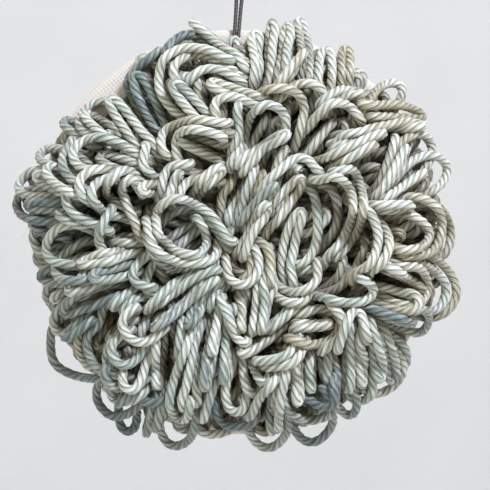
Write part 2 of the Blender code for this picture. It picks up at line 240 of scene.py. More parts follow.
OUTER = (
    Seen(0.20, hairpin(-8.5, 31, -11.5, 44.5, 3.4)),
    Seen(0.35, hairpin(-4, 30, -5.5, 44, 3.6)),
    Seen(0.40, ((2, 44), (-4, 48), (-10, 50), (-15, 49.3), (-18, 46.5), (-17, 42))),
    Seen(0.60, ((1, 43), (-5, 46), (-10, 45.8), (-14, 42.5))),
    Seen(0.45, ((-8, 31), (-14, 32), (-18.5, 35), (-21.7, 40), (-22, 45), (-20.3, 49.3), (-15.5, 52),
                (-9, 51.8), (-3, 49))),
    Seen(0.50, hairpin(-9.3, 32, -18.3, 42.4, 5.6)),
    Seen(0.30, hairpin(11, 40, 19.5, 51.3, 2.9)),
    Seen(0.35, ((12, 38), (16.5, 41.5), (21, 42), (24.5, 39.5), (25.5, 34))),
    Seen(0.35, hairpin(25, 36, 36, 38.5, 3.4, 2.0)),
    Seen(0.35, hairpin(28, 24, 53.5, 30, 3.1, 2.5)),
    Seen(0.30, hairpin(23, 19, 42.3, 28.3, 3.2, 0.5)),
    Seen(0.25, hairpin(25, 16.5, 39.5, 25, 3.2)),
    Seen(0.45, ((36.5, 6), (40, 12.5), (42.5, 19), (44.5, 25))),
    Seen(0.45, hairpin(40, 9, 48.5, 24.5, 3.2)),
    Seen(0.30, hairpin(42, 9, 53.7, 17.2, 3.0)),
    Seen(0.25, ((43, 6), (48, 9.6), (53, 9.3), (57, 6.3), (58.1, 2), (57.3, -2.5), (54.5, -6), (47, -7))),
    Seen(0.20, ((41, 4.5), (47, 5.3), (52, 3.2), (54.5, -0.3), (52.7, -4), (47, -5.2), (40, -4))),
    Seen(0.40, hairpin(38, 7, 50, 7.3, 3.4)),
    Seen(0.30, ((39, -7), (46, -9.6), (51.8, -10.2), (54, -15), (52, -20), (46, -20.5), (39, -17))),
    Seen(0.20, hairpin(39, -8.5, 53, -17, 3.2, 0.8)),
    Seen(0.25, ((35, -15), (41, -15.5), (46, -17), (50.8, -18), (51, -21.5), (45, -22.3), (37, -19))),
    Seen(0.80, hairpin(35, -21, 49.5, -26, 3.3)),
    Seen(0.50, hairpin(38, -26, 43.8, -43, 4.6, 2.0)),
    Seen(0.55, hairpin(36, -26, 40.6, -42.5, 4.4, 1.0)),
    Seen(0.30, hairpin(34.5, -27, 35.5, -44, 3.6)),
    Seen(0.35, hairpin(31.5, -27, 31.5, -45.5, 4.0)),
    Seen(0.45, hairpin(26.5, -31, 27, -49, 4.4)),
    Seen(0.75, ((12, -44), (14, -50), (18, -53), (23, -53), (27.5, -50.5), (26, -45))),
    Seen(0.75, ((16, -45), (20, -47), (24, -49.5), (27.5, -48.5), (27, -43))),
    Seen(0.80, ((-7, -43), (-6.3, -50), (-4, -54), (-0.5, -55), (3.5, -53.5), (5.5, -49), (5, -43))),
    Seen(0.40, hairpin(10.5, -41, 10.3, -57.5, 3.6)),
    Seen(0.40, hairpin(-6, -40, -10, -54, 3.2)),
    Seen(0.95, ((-32, -44), (-28, -47), (-24, -48.5), (-20, -47.5), (-17, -44))),
    Seen(0.45, ((-36, -44), (-35, -47), (-31, -47.5), (-27, -46), (-25, -42))),
    Seen(0.80, hairpin(-27, -42, -34, -49, 3.6)),
    Seen(0.20, ((-40, -22), (-44.5, -27), (-44.8, -33), (-42.5, -37.5), (-37, -40))),
    Seen(0.60, ((-36, -19), (-40.5, -24.5), (-42.5, -30), (-42, -34.5), (-40, -38), (-36, -40))),
    Seen(0.85, hairpin(-42, -25, -49.3, -30.3, 3.6)),
    Seen(0.95, hairpin(-32, -16, -49.2, -22.7, 7.4, -1)),
    Seen(0.75, hairpin(-37, -11, -48.3, -17, 4.6)),
    Seen(0.70, ((-36, -1.5), (-43, -2.6), (-48, -5.8), (-51.5, -10), (-50, -13.3), (-43, -14))),
    Seen(0.75, hairpin(-38, -7, -49, -9.5, 4.0)),
    Seen(0.65, ((-37, 0.5), (-44, 2), (-49.5, 1.7), (-53, -1.3), (-54, -5), (-52, -8.3), (-45, -9.5))),
    Seen(0.80, hairpin(-39, 1, -51, 5.5, 4.4)),
    Seen(0.60, ((-41, 14.5), (-46, 13.4), (-48.5, 9.7), (-47, 6), (-43.5, 3.5), (-38, 1))),
    Seen(0.65, hairpin(-43, 11, -54, 18.2, 7.5)),
    Seen(0.75, ((-47, 25), (-49.5, 20), (-48, 16), (-43, 12))),
    Seen(0.50, hairpin(-39, 14.5, -46.8, 21.8, 5.0)),
    Seen(0.50, hairpin(-24, 21, -36.3, 38.3, 6.0)),
    Seen(0.55, ((-26, 20), (-32, 24.5), (-38, 26.8), (-43.5, 25.8), (-46.5, 22.3), (-44.5, 18.5),
                (-38, 17), (-30, 17))),
)
MIDDLE = (
    Seen(0.60, hairpin(-27, 17, -39.2, 21.2, 6.0)),
    Seen(0.50, ((-26, 23), (-26.5, 18.5), (-22, 15))),
    Seen(0.35, ((-33, 15.5), (-37, 17.5), (-41, 17.5), (-44.3, 15), (-44.2, 11), (-41, 8), (-37.5, 5.7),
                (-32, 4))),
    Seen(0.65, ((-35, 15.5), (-38.8, 14.5), (-41.3, 11.5), (-40, 8), (-36, 5.8), (-30, 3.5))),
    Seen(0.65, ((-36.5, 5), (-38.8, 1), (-39, -3), (-37, -7))),
    Seen(0.80, hairpin(-29, -10.5, -41.5, -13, 5.4)),
    Seen(0.40, hairpin(-26.5, -4.5, -45, -9.3, 3.4)),
    Seen(0.50, hairpin(-26, -2, -36.2, -2.5, 4.2)),
    Seen(0.65, hairpin(-26, -15.5, -35.8, -21.6, 4.0)),
    Seen(0.55, hairpin(-24, -17.5, -33, -22.8, 3.6)),
    Seen(0.60, ((-29, -26), (-35, -30.5), (-37, -36), (-35.5, -40), (-31, -41))),
    Seen(0.60, ((-35, -36), (-37.5, -40), (-36, -43.3), (-32.5, -44.5))),
    Seen(0.30, ((-31, -35), (-32.5, -40), (-32, -43.8), (-29.3, -44.8), (-27.3, -42), (-25.8, -37),
                (-24, -31))),
    Seen(0.55, ((-31, -28), (-35, -31.5), (-35.3, -35.3), (-32.5, -37.7), (-29, -36.5), (-26, -32.5))),
    Seen(0.30, hairpin(-22, -29, -22.5, -44.5, 4.4)),
    Seen(0.45, ((-30, -22), (-32.6, -25.5), (-31, -29.5), (-27.5, -31.3), (-24, -30.3), (-21, -27.5))),
    Seen(0.60, hairpin(-18, -22, -16.5, -32.8, 3.2)),
    Seen(0.55, hairpin(-15, -26, -16.6, -36, 3.0)),
    Seen(0.45, hairpin(-10.5, -37, -12.3, -49.5, 3.2)),
    Seen(0.40, ((-9.5, -24), (-11.8, -31), (-13, -37), (-14, -43), (-14.8, -48.5))),
    Seen(0.40, ((-12, -26), (-14.5, -32), (-16.5, -38), (-18.3, -43.5), (-19.2, -48.5), (-17.5, -52.3),
                (-14.5, -53), (-13.2, -49))),
    Seen(0.45, ((-0.5, -35), (-2.8, -42), (-3.3, -46), (-2.2, -50), (0.3, -51), (2.4, -49), (2.8, -43))),
    Seen(0.40, ((2, -33), (1.9, -40), (2.9, -44.3), (5, -46), (7, -44), (7.3, -38))),
    Seen(0.50, ((5.5, -32), (5.2, -38), (6.5, -41.8), (8.3, -42.6), (9.3, -38))),
    Seen(0.45, ((14.8, -36), (10.8, -42), (6.5, -47), (4.3, -51.5))),
    Seen(0.40, ((14.5, -35), (13.5, -42), (12.2, -48), (11.8, -54))),
    Seen(0.25, hairpin(17, -32, 17.3, -49, 3.6)),
    Seen(0.35, hairpin(20.7, -30, 20.8, -45.5, 3.4)),
    Seen(0.70, ((-9, -36), (-8.5, -40), (-5.5, -39.5), (-4.3, -35))),
    Seen(0.45, hairpin(-5.5, -21, -9.3, -45, 3.3)),
    Seen(0.35, hairpin(-4.5, -22, -7.5, -35, 3.0)),
    Seen(0.45, hairpin(-2.3, -23, -3.8, -43, 3.2)),
    Seen(0.30, ((18.5, -18), (20, -23), (19.8, -28), (18.3, -33), (16, -37), (10, -38.3))),
    Seen(0.55, ((15.3, -19), (17.3, -24.5), (17, -29.5), (15, -34), (11, -36), (7, -36.5))),
    Seen(0.20, hairpin(13, -26, 0.5, -34.7, 3.3, 0.8)),
    Seen(0.35, hairpin(16.5, -21.5, 8, -28.5, 3.2)),
    Seen(0.15, ((18, -22.7), (24, -21.8), (28.3, -23.5), (29.2, -27), (26, -30.8), (21, -32), (17, -31))),
    Seen(0.15, hairpin(18, -27, 27.2, -26, 3.2)),
    Seen(0.35, ((27, -21), (30.2, -25), (29.3, -29.5), (25, -33))),
    Seen(0.35, ((29, -32), (31, -26), (33, -22.3), (35.2, -23.5), (36.5, -29))),
    Seen(0.35, hairpin(18.8, 21, 27.2, 32.3, 3.2)),
    Seen(0.30, ((17, 26), (22, 32), (26.5, 36.2), (31, 36), (34.5, 33))),
    Seen(0.30, ((5.5, 35), (8.5, 39.6), (13, 40.8), (17.3, 39), (19, 35), (18, 29.5), (16.3, 24),
                (14.5, 18))),
    Seen(0.40, hairpin(6.5, 38, -8.3, 42.8, 3.0, 1)),
    Seen(0.35, ((-1.5, 20.5), (-3, 27), (-5.4, 31.5), (-6.5, 35.3), (-4.5, 38), (0, 38.3), (5.5, 36.5))),
    Seen(0.25, hairpin(-3.5, 27, -14.5, 28.5, 4.6)),
    Seen(0.30, ((-4, 31), (-11, 31.8), (-16, 30.8), (-20.2, 28.8), (-21.8, 25.3), (-20.3, 22), (-16, 20))),
    Seen(0.40, ((-5, 27.5), (-11, 29), (-15.5, 28.3), (-17.2, 25), (-16.8, 21), (-14, 18.2), (-9.5, 16))),
    Seen(0.45, hairpin(-3.5, 19.8, -16, 25.8, 3.2)),
    Seen(0.55, ((-27, 14), (-30, 17), (-34, 16.5), (-37, 12.5), (-35.5, 9), (-30, 6))),
    Seen(0.40, ((-27.5, 12), (-30, 15.2), (-32.5, 13.5), (-32, 9.5), (-30, 5), (-27.5, 0), (-24, -3.8),
                (-19, -8))),
    Seen(0.30, hairpin(-20, 12, -27.6, 12.3, 5.2)),
    Seen(0.35, ((29, -7), (29.8, -11.5), (26.5, -15), (22.5, -17))),
    Seen(0.40, ((33.5, 2), (36.8, -3.5), (36, -8.5), (33, -13), (27.5, -16.5), (22, -18))),
    Seen(0.35, ((36, 6), (41, 2), (43.2, -3), (41.5, -8), (37.5, -11.5))),
    Seen(0.30, ((33, 8), (37.2, 6), (39.5, 1.5), (40, -3), (38, -9), (34, -13))),
    Seen(0.55, ((20, -17.5), (27, -19.3), (33, -20.3), (37.3, -18.8), (38.6, -16), (36, -13.5))),
    Seen(0.30, ((28, 17), (32.5, 17.8), (35, 13), (35.8, 7), (34, 0), (29.5, -6))),
)
FRONT = (
    Seen(0.30, ((20, 14.5), (24.5, 14.2), (27.7, 10.5), (28.6, 5.5), (27.5, 0.5), (24, -4.5), (20, -6.5))),
    Seen(0.40, ((23, 15.5), (28.5, 15.5), (32, 12), (32.9, 6.5), (31, 0), (27.5, -5.5), (22.5, -9.5),
                (17, -10.8))),
    Seen(0.50, ((19.5, 16), (22, 10), (22.8, 4), (22.8, -1), (21, -7), (18.5, -9.3))),
    Seen(0.25, ((10, -17.5), (15, -20.5), (19, -19.7), (20.7, -16.5))),
    Seen(0.25, ((10, -13.5), (15, -16.7), (19, -16.5), (22.3, -14), (23, -10.5))),
    Seen(0.45, hairpin(14.5, -14, 18.6, 6.3, 5.6, 1.8)),
    Seen(0.60, ((-22.5, -8), (-22, -11), (-20, -14), (-16.5, -15.5), (-13, -14.8), (-11, -12), (-11, -9))),
    Seen(0.60, ((-21, -6), (-24.2, -9.5), (-25.7, -13), (-25, -16.5), (-21, -19.5))),
    Seen(0.55, ((-22.5, -5), (-27, -8), (-29.5, -11.3), (-29, -14), (-25.5, -16))),
    Seen(0.60, hairpin(-5.5, -10.5, -14, -27.5, 3.4)),
    Seen(0.55, hairpin(-8, -14, -24, -27.5, 3.2, 0.5)),
    Seen(0.45, hairpin(-7.3, -10.5, -26, -22.8, 3.4, -1.2)),
    Seen(0.45, hairpin(-3.2, -14.5, -8.3, -22.5, 3.0)),
    Seen(0.30, ((-4.5, -20), (-2.2, -24.3), (-0.9, -28), (1, -30.8), (3.2, -31.2), (3.6, -27))),
    Seen(0.25, hairpin(1.5, -16, 1, -28, 3.2)),
    Seen(0.40, hairpin(6.8, -7, 4.2, -29, 3.2, 0.8)),
    Seen(0.35, hairpin(9.3, -7, 6.9, -28.8, 3.2, 0.5)),
    Seen(0.15, ((4.5, -2.5), (8, -4), (9.4, -8), (9.2, -14))),
    Seen(0.15, ((-2.3, 0), (-4.4, 6), (-4.2, 11), (-2, 16), (2, 19.3))),
    Seen(0.20, hairpin(3.5, 7, 7.6, 17.3, 3.2)),
    Seen(0.60, hairpin(-1.3, 2.5, 5.3, 19.5, 4.0)),
    Seen(0.55, ((-21, 10), (-21.2, 14.5), (-18.7, 18.3), (-15, 19))),
    Seen(0.40, hairpin(-18.8, 10, -16.3, 17.3, 3.2)),
    Seen(0.30, ((-16.5, 10.5), (-14.8, 13.5), (-11, 15.3), (-5, 14))),
    Seen(0.40, hairpin(-12.3, 10, -3.6, 18, 3.4, 0.8)),
    Seen(0.40, hairpin(1, 21, 9.2, 33.3, 3.2)),
    Seen(0.50, ((1.6, 20.5), (2.2, 27), (4, 32.8), (8, 36), (12, 35), (13.9, 31.5), (13, 27))),
    Seen(0.40, hairpin(-1, 20.5, 0.5, 36.3, 3.0)),
    Seen(0.45, hairpin(1.5, 19.5, 14.8, 28.2, 3.0, 0.5)),
    Seen(0.50, hairpin(10, 13, 13.8, 24.3, 3.2)),
    Seen(0.50, ((6.5, 11.5), (11, 16.5), (15.5, 20), (20, 20.5), (22.5, 17.3))),
    Seen(0.35, hairpin(10.5, 6.5, 18, 19, 3.2)),
    Seen(0.35, hairpin(7, 0.5, 19.3, 15.4, 5.8, 0.5)),
    Seen(0.60, hairpin(1.8, 3.2, 11.2, 14, 3.2)),
    Seen(0.15, ((0.5, -5.5), (3.5, -7.5), (4, -11), (2, -14))),
    Seen(0.30, ((-2.3, -0.5), (-3.2, -5), (-3.6, -9.5), (-2, -13.2), (1.5, -15), (5, -13.2), (6.3, -9.5),
                (5.3, -5))),
    Seen(0.45, hairpin(1.5, -5, 8.6, 8.6, 3.2)),
    Seen(0.60, ((-25.5, -2), (-23, -7), (-18.5, -10), (-13.5, -10), (-10, -8.5))),
    Seen(0.40, ((-25.5, 2), (-24, -3.5), (-20.5, -7), (-15, -8.6), (-10, -8.7), (-6.5, -7.2), (-4.5, -4))),
    Seen(0.60, ((-10, 3.5), (-15, 1), (-19.5, -2.5))),
    Seen(0.60, ((-8.5, 2.5), (-13, -1), (-17.5, -5))),
    Seen(0.70, ((-3, -3), (-6, 1), (-9.5, 4), (-14, 6.3), (-18, 6.3), (-21, 3.5))),
    Seen(0.45, ((-2.8, -2), (-7, 4.3), (-12, 7.8), (-17, 9.5), (-21, 7.8), (-23, 4), (-22.5, 0), (-20, -4),
                (-16, -5.8), (-11.5, -6.5), (-9, -4.3), (-9, 0), (-10.5, 3))),
)
GROUPS = {"rim_loops": RIM, "outer_loops": OUTER, "middle_loops": MIDDLE, "front_loops": FRONT}

# Shorter loops that fill the pile under the ones that show: rings of them, in millimetres.
Under = namedtuple("Under", "radius count length width")
UNDER = (
    Under(46.5, 40, 11.0, 7.5),
    Under(42.0, 36, 12.0, 7.5),
    Under(36.0, 32, 12.5, 7.5),
    Under(29.5, 26, 12.5, 7.5),
    Under(22.5, 19, 12.5, 7.5),
    Under(15.5, 13, 12.0, 7.5),
    Under(9.0, 7, 11.0, 7.0),
    Under(3.0, 3, 10.0, 6.5),
)
WINDOW = (304.0, 332.0)               # the bearings between which the cloth's bare edge shows
UNDER_SWAY = 32.0                     # degrees that an under loop may turn away from straight outwards
UNDER_STAGGER = 0.6                   # of the space between two loops of a ring
UNDER_SCATTER = 1.5                   # inwards and outwards, in millimetres
UNDER_INSET = 0.96                    # draws the rings together, because their tips lie higher
UNDER_LENGTHS = (0.85, 1.1)           # least and most, as shares of the ring's length
UNDER_WIDTHS = (0.75, 1.15)
BOW = 1.5                             # how far a loop may bow to a side, in millimetres
UNDER_TINTS = (0.1, 0.8)

# Low loops that hide the cloth's edge, where it is hidden: a bearing in degrees clockwise from the
# top, and how far the pile reaches there. The first ones go once round, and the rest lie between.
Edge = namedtuple("Edge", "bearing reach")
EDGES = (
    Edge(8, 57.5 * MM), Edge(20, 58 * MM), Edge(31, 57 * MM), Edge(40, 59 * MM),
    Edge(50, 57.5 * MM), Edge(59, 59 * MM), Edge(68, 59 * MM), Edge(77, 59 * MM),
    Edge(86, 58.5 * MM), Edge(95, 59.5 * MM), Edge(104, 60.5 * MM), Edge(113, 59.5 * MM),
    Edge(122, 58.5 * MM), Edge(131, 59 * MM), Edge(140, 59 * MM), Edge(149, 58 * MM),
    Edge(158, 59 * MM), Edge(167, 60 * MM), Edge(176, 58.5 * MM), Edge(185, 58.5 * MM),
    Edge(194, 60 * MM), Edge(203, 61 * MM), Edge(212, 60 * MM), Edge(221, 58 * MM),
    Edge(230, 58 * MM), Edge(239, 58.5 * MM), Edge(248, 58.5 * MM), Edge(257, 58.5 * MM),
    Edge(266, 59 * MM), Edge(275, 60 * MM), Edge(284, 60.5 * MM), Edge(293, 58.5 * MM),
    Edge(302, 53.5 * MM), Edge(334, 56.5 * MM), Edge(344, 57.5 * MM),
    Edge(25, 58 * MM), Edge(36, 58 * MM), Edge(45, 58 * MM), Edge(54, 58.5 * MM), Edge(63, 59 * MM),
    Edge(72, 59 * MM), Edge(81, 59 * MM), Edge(90, 59 * MM), Edge(108, 59 * MM), Edge(126, 58.5 * MM),
    Edge(144, 58.5 * MM), Edge(162, 58.5 * MM), Edge(198, 58.5 * MM), Edge(216, 58.5 * MM),
    Edge(234, 58.5 * MM), Edge(243, 58.5 * MM), Edge(252, 58.5 * MM), Edge(261, 58.5 * MM),
    Edge(270, 59 * MM), Edge(279, 59 * MM), Edge(288, 59 * MM), Edge(297, 57.5 * MM),
)
EDGE_LENGTH = 13 * MM
EDGE_WIDTH = 8.2 * MM
EDGE_LENGTHS = (0.94, 1.03)           # least and most, as shares of the length
EDGE_SCATTER = 2.0                    # in degrees round the cloth
EDGE_SWAY = 14.0                      # degrees that an edge loop may turn away from straight outwards


def smooth_route(points, spacing):
    """Evenly spaced points along a smooth curve through the given ones."""
    ends = [2 * points[0] - points[1], *points, 2 * points[-1] - points[-2]]
    fine = []
    share = np.linspace(0.0, 1.0, 12, endpoint=False)[:, None]
    for before, start, end, after in zip(ends, ends[1:], ends[2:], ends[3:]):
        fine.append(start + ((end - before) * share
                             + (2 * before - 5 * start + 4 * end - after) * share ** 2
                             + (3 * start - before - 3 * end + after) * share ** 3) * 0.5)
    fine = np.vstack([*fine, points[-1:]])
    walked = np.concatenate([[0.0], np.cumsum(np.linalg.norm(np.diff(fine, axis=0), axis=1))])
    places = np.linspace(0.0, walked[-1], max(4, round(walked[-1] / spacing) + 1))
    return np.stack([np.interp(places, walked, column) for column in fine.T], axis=1)


def foot_height(places):
    """How high the pile's foot stands off the cloth at places across it."""
    reach = np.linalg.norm(places, axis=-1) / FOOT_RADIUS
    up = np.sqrt(np.clip(1.0 - reach ** 2, 0.0, 1.0))
    return (FOOT_RIM * up ** FOOT_RIM_ROUNDING + FOOT_CROWN * up ** FOOT_CROWN_ROUNDING) * (reach < 1.0)


def under_routes(chance):
    """The routes of the loops at the cloth's edge, then of those that fill the pile, ring by ring."""
    routes = []
    for edge in EDGES:
        turn = math.radians(edge.bearing + chance.uniform(-EDGE_SCATTER, EDGE_SCATTER))
        heading = turn + math.radians(chance.uniform(-EDGE_SWAY, EDGE_SWAY))
        start = edge.reach - EDGE_LENGTH
        root = (start * math.sin(turn) / MM, start * math.cos(turn) / MM)
        length = (EDGE_LENGTH / MM - YARN_WIDTH / 2) * chance.uniform(*EDGE_LENGTHS)
        tip = (root[0] + length * math.sin(heading), root[1] + length * math.cos(heading))
        routes.append(hairpin(*root, *tip, EDGE_WIDTH / MM, chance.uniform(-BOW, BOW)))
    for ring in UNDER:
        for i in range(ring.count):
            turn = math.radians(360.0 * (i + chance.random() * UNDER_STAGGER) / ring.count)
            heading = turn + math.radians(chance.uniform(-UNDER_SWAY, UNDER_SWAY))
            radius = ring.radius + chance.uniform(-UNDER_SCATTER, UNDER_SCATTER)
            length = ring.length * chance.uniform(*UNDER_LENGTHS)
            root = (radius * math.sin(turn) * UNDER_INSET, radius * math.cos(turn) * UNDER_INSET)
            tip = (root[0] + length * math.sin(heading), root[1] + length * math.cos(heading))
            width = ring.width * chance.uniform(*UNDER_WIDTHS)
            route = hairpin(*root, *tip, width, chance.uniform(-BOW, BOW))
            bare = ring is UNDER[0] and WINDOW[0] < math.degrees(turn) < WINDOW[1]
            if not bare:
                routes.append(route)
    return routes


class Pile:
    """Strands laid one on another on the cloth. A place is across, up and off the cloth."""

    def __init__(self, yarn_diameter):
        self.yarn = yarn_diameter
        self.cells = int(2 * LAY_HALF / LAY_CELL)
        middles = (np.arange(self.cells) + 0.5) * LAY_CELL - LAY_HALF
        across, up = np.meshgrid(middles, middles, indexing="ij")
        places = np.stack([across, up], axis=-1)
        self.top = foot_height(places)
        self.top[np.linalg.norm(places, axis=-1) > CLOTH_RADIUS] = OFF_CLOTH
        reach = int(self.yarn / 2 / LAY_CELL) + 1
        step = np.arange(-reach, reach + 1)
        spread_x, spread_z = (grid.ravel() for grid in np.meshgrid(step, step, indexing="ij"))
        rest = (self.yarn / 2) ** 2 - (spread_x ** 2 + spread_z ** 2) * LAY_CELL ** 2
        inside = rest > 0
        self.spread = (spread_x[inside], spread_z[inside])
        self.bulge = np.sqrt(rest[inside])
        self.strands = []

    def lay(self, route, tint, group):
        """Lay one strand on what is there already, with its two ends going down into the foot."""
        seen = smooth_route(np.array(route) * MM, STEP)
        cell = ((seen + LAY_HALF) / LAY_CELL).astype(int)
        under_x = cell[:, :1] + self.spread[0]
        under_z = cell[:, 1:] + self.spread[1]
        rest = (self.top[under_x, under_z] + self.bulge).max(axis=1)
        height = rest.copy()
        for _ in range(SPRING):
            padded = np.pad(height, 2, mode="edge")
            height = np.maximum(rest - GIVE, (padded[:-4] + padded[1:-3] + height
                                              + padded[3:-1] + padded[4:]) / 5)
        np.maximum.at(self.top, (under_x, under_z), height[:, None] + self.bulge)
        ends = []
        for end, inner in ((0, 1), (-1, -2)):
            onward = (seen[end] - seen[inner]) / np.linalg.norm(seen[end] - seen[inner])
            bottom = min(height[end] - DIVE_RADIUS, max(0.0, float(foot_height(seen[end])) - ROOT_SINK))
            dive = []
            for angle in np.radians(DIVE_ANGLES):
                dive.append((*(seen[end] + onward * DIVE_RADIUS * math.sin(angle)),
                             height[end] - DIVE_RADIUS * (1.0 - math.cos(angle))))
            steps = max(1, int((dive[-1][2] - bottom) / STEP))
            drop = (dive[-1][2] - bottom) / steps
            dive += [(*dive[-1][:2], dive[-1][2] - drop * (i + 1)) for i in range(steps)]
            ends.append(dive)
        middle = [(*place, lift) for place, lift in zip(seen, height)]
        line = np.array(ends[0][::-1] + middle + ends[1])
        self.strands.append({"line": line, "seen": line[:, :2].copy(), "tint": tint, "group": group})

    def settle(self, rounds):
        """Let the strands push each other apart and sink together, keeping their length and shape."""
        line = np.vstack([strand["line"] for strand in self.strands])
        seen = np.vstack([strand["seen"] for strand in self.strands])
        number = np.concatenate([np.full(len(strand["line"]), i)
                                 for i, strand in enumerate(self.strands)])
        count = len(line)
        linked = np.nonzero(number[:-1] == number[1:])[0]
        length = np.linalg.norm(line[linked + 1] - line[linked], axis=1)
        pinned = np.ones(count, bool)
        pinned[1:-1] = (number[:-2] != number[1:-1]) | (number[2:] != number[1:-1])
        inner = np.nonzero(~pinned)[0]
        shape = line[inner] - (line[inner - 1] + line[inner + 1]) / 2
        shape[:, 2] *= LIFT_KEPT
        home = line.copy()
        width = self.yarn * TIP_THIN
        axis = np.array([VIEW_RIGHT, VIEW_UP])
        for _ in range(rounds):
            line[:, 2] -= SINK
            scale = 1.0 - line[:, 2:] / VIEW_DISTANCE
            target = axis + (seen - axis) * scale
            line[:, :2] += (target - line[:, :2]) * HOMING
            bent = (line[inner - 1] + line[inner + 1]) / 2 + shape
            line[inner] += (bent - line[inner]) * STIFFNESS
            for parity in (0, 1):
                pair = linked[parity::2]
                step = line[pair + 1] - line[pair]
                gap = np.linalg.norm(step, axis=1)
                fix = step * ((gap - length[parity::2]) / gap / 2)[:, None]
                line[pair] += fix
                line[pair + 1] -= fix
            one, other = near_pairs(line, width)
            apart = (np.abs(one - other) > NEIGHBOURS) | (number[one] != number[other])
            one, other = one[apart], other[apart]
            step = line[other] - line[one]
            gap = np.maximum(np.linalg.norm(step, axis=1), 1e-6)
            push = step * ((width - gap) / gap / 2)[:, None]
            moved = np.zeros_like(line)
            hits = np.bincount(one, minlength=count) + np.bincount(other, minlength=count)
            for column in range(3):
                moved[:, column] -= np.bincount(one, push[:, column], minlength=count)
                moved[:, column] += np.bincount(other, push[:, column], minlength=count)
            line += moved / np.maximum(1.0, hits * CROWDING)[:, None]
            on_cloth = np.linalg.norm(line[:, :2], axis=1) < CLOTH_RADIUS
            line[:, 2] = np.maximum(line[:, 2], np.where(on_cloth, self.yarn / 2, BEHIND_EDGE))
            line[pinned] = home[pinned]
        for _ in range(EVENINGS):
            line[inner] += ((line[inner - 1] + line[inner + 1]) / 2 - line[inner]) * 0.5
        self.take(line)

    def take(self, line):
        """Give each strand its part of the settled line, and how deep each point lies, from 0 to 1, which
        the yarn's material paints as shade.
        """
        cells = int(2 * LAY_HALF / SHADE_CELL)
        cell = ((line[:, :2] + LAY_HALF) / SHADE_CELL).astype(int)
        top = np.zeros((cells + 4, cells + 4))
        np.maximum.at(top, (cell[:, 0] + 2, cell[:, 1] + 2), line[:, 2])
        around = [(i, j) for i in range(3) for j in range(3)]
        top = np.max([top[i:i + cells + 2, j:j + cells + 2] for i, j in around], axis=0)
        top = np.mean([top[i:i + cells, j:j + cells] for i, j in around], axis=0)
        depth = np.clip((top[cell[:, 0], cell[:, 1]] - line[:, 2]) / SHADE_DEPTH, 0.0, 1.0)
        start = 0
        for strand in self.strands:
            end = start + len(strand["line"])
            strand["line"] = line[start:end]
            padded = np.pad(depth[start:end], 2, mode="edge")
            strand["depth"] = np.convolve(padded, np.ones(5) / 5, "valid")
            start = end


def near_pairs(points, reach):
    """Each pair of points closer than reach, once, as two arrays of their numbers."""
    cell = np.floor(points / reach).astype(np.int64)
    cell -= cell.min(axis=0) - 1
    sizes = cell.max(axis=0) + 2
    key = (cell[:, 0] * sizes[1] + cell[:, 1]) * sizes[2] + cell[:, 2]
    order = np.argsort(key, kind="stable")
    ranked = key[order]
    ones, others = [], []
    for x in (-1, 0, 1):
        for y in (-1, 0, 1):
            for z in (-1, 0, 1):
                wanted = key + (x * sizes[1] + y) * sizes[2] + z
                low = np.searchsorted(ranked, wanted, "left")
                found = np.searchsorted(ranked, wanted, "right") - low
                one = np.repeat(np.arange(len(points)), found)
                first = np.repeat(low - np.cumsum(found) + found, found)
                ones.append(one)
                others.append(order[first + np.arange(len(one))])
    one, other = np.concatenate(ones), np.concatenate(others)
    near = (one < other) & (np.linalg.norm(points[one] - points[other], axis=1) < reach)
    return one[near], other[near]


NO_STRAND_STARTS_SO = (0.31, 0.95, 0.05)


def frames_along(line):
    """The tangent, side and face of a line at each point, turning as little as they can."""
    tangent = np.gradient(line, axis=0)
    tangent /= np.linalg.norm(tangent, axis=1)[:, None]
    side = np.cross(tangent[0], NO_STRAND_STARTS_SO)
    sides = []
    for along in tangent:
        side = side - along * side.dot(along)
        side = side / np.linalg.norm(side)
        sides.append(side)
    sides = np.array(sides)
    return tangent, sides, np.cross(tangent, sides)


def add_mesh_object(name, mesh, material):
    """A shaded piece that rides on the part's one body."""
    piece = bpy.data.objects.new(name, mesh)
    bpy.context.scene.collection.objects.link(piece)
    mesh.materials.append(material)
    mesh.polygons.foreach_set("use_smooth", np.ones(len(mesh.polygons), bool))
    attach(piece, "root")
    return piece


def mesh_from_faces(name, places, corners, sizes):
    """A mesh from arrays of its points, its faces' corners and how many corners each face has."""
    mesh = bpy.data.meshes.new(name)
    mesh.vertices.add(len(places))
    mesh.vertices.foreach_set("co", np.asarray(places, np.float32).ravel())
    mesh.loops.add(len(corners))
    mesh.loops.foreach_set("vertex_index", np.asarray(corners, np.int32))
    mesh.polygons.add(len(sizes))
    starts = np.concatenate([[0], np.cumsum(sizes)[:-1]])
    mesh.polygons.foreach_set("loop_start", starts.astype(np.int32))
    mesh.update(calc_edges=True)
    return mesh


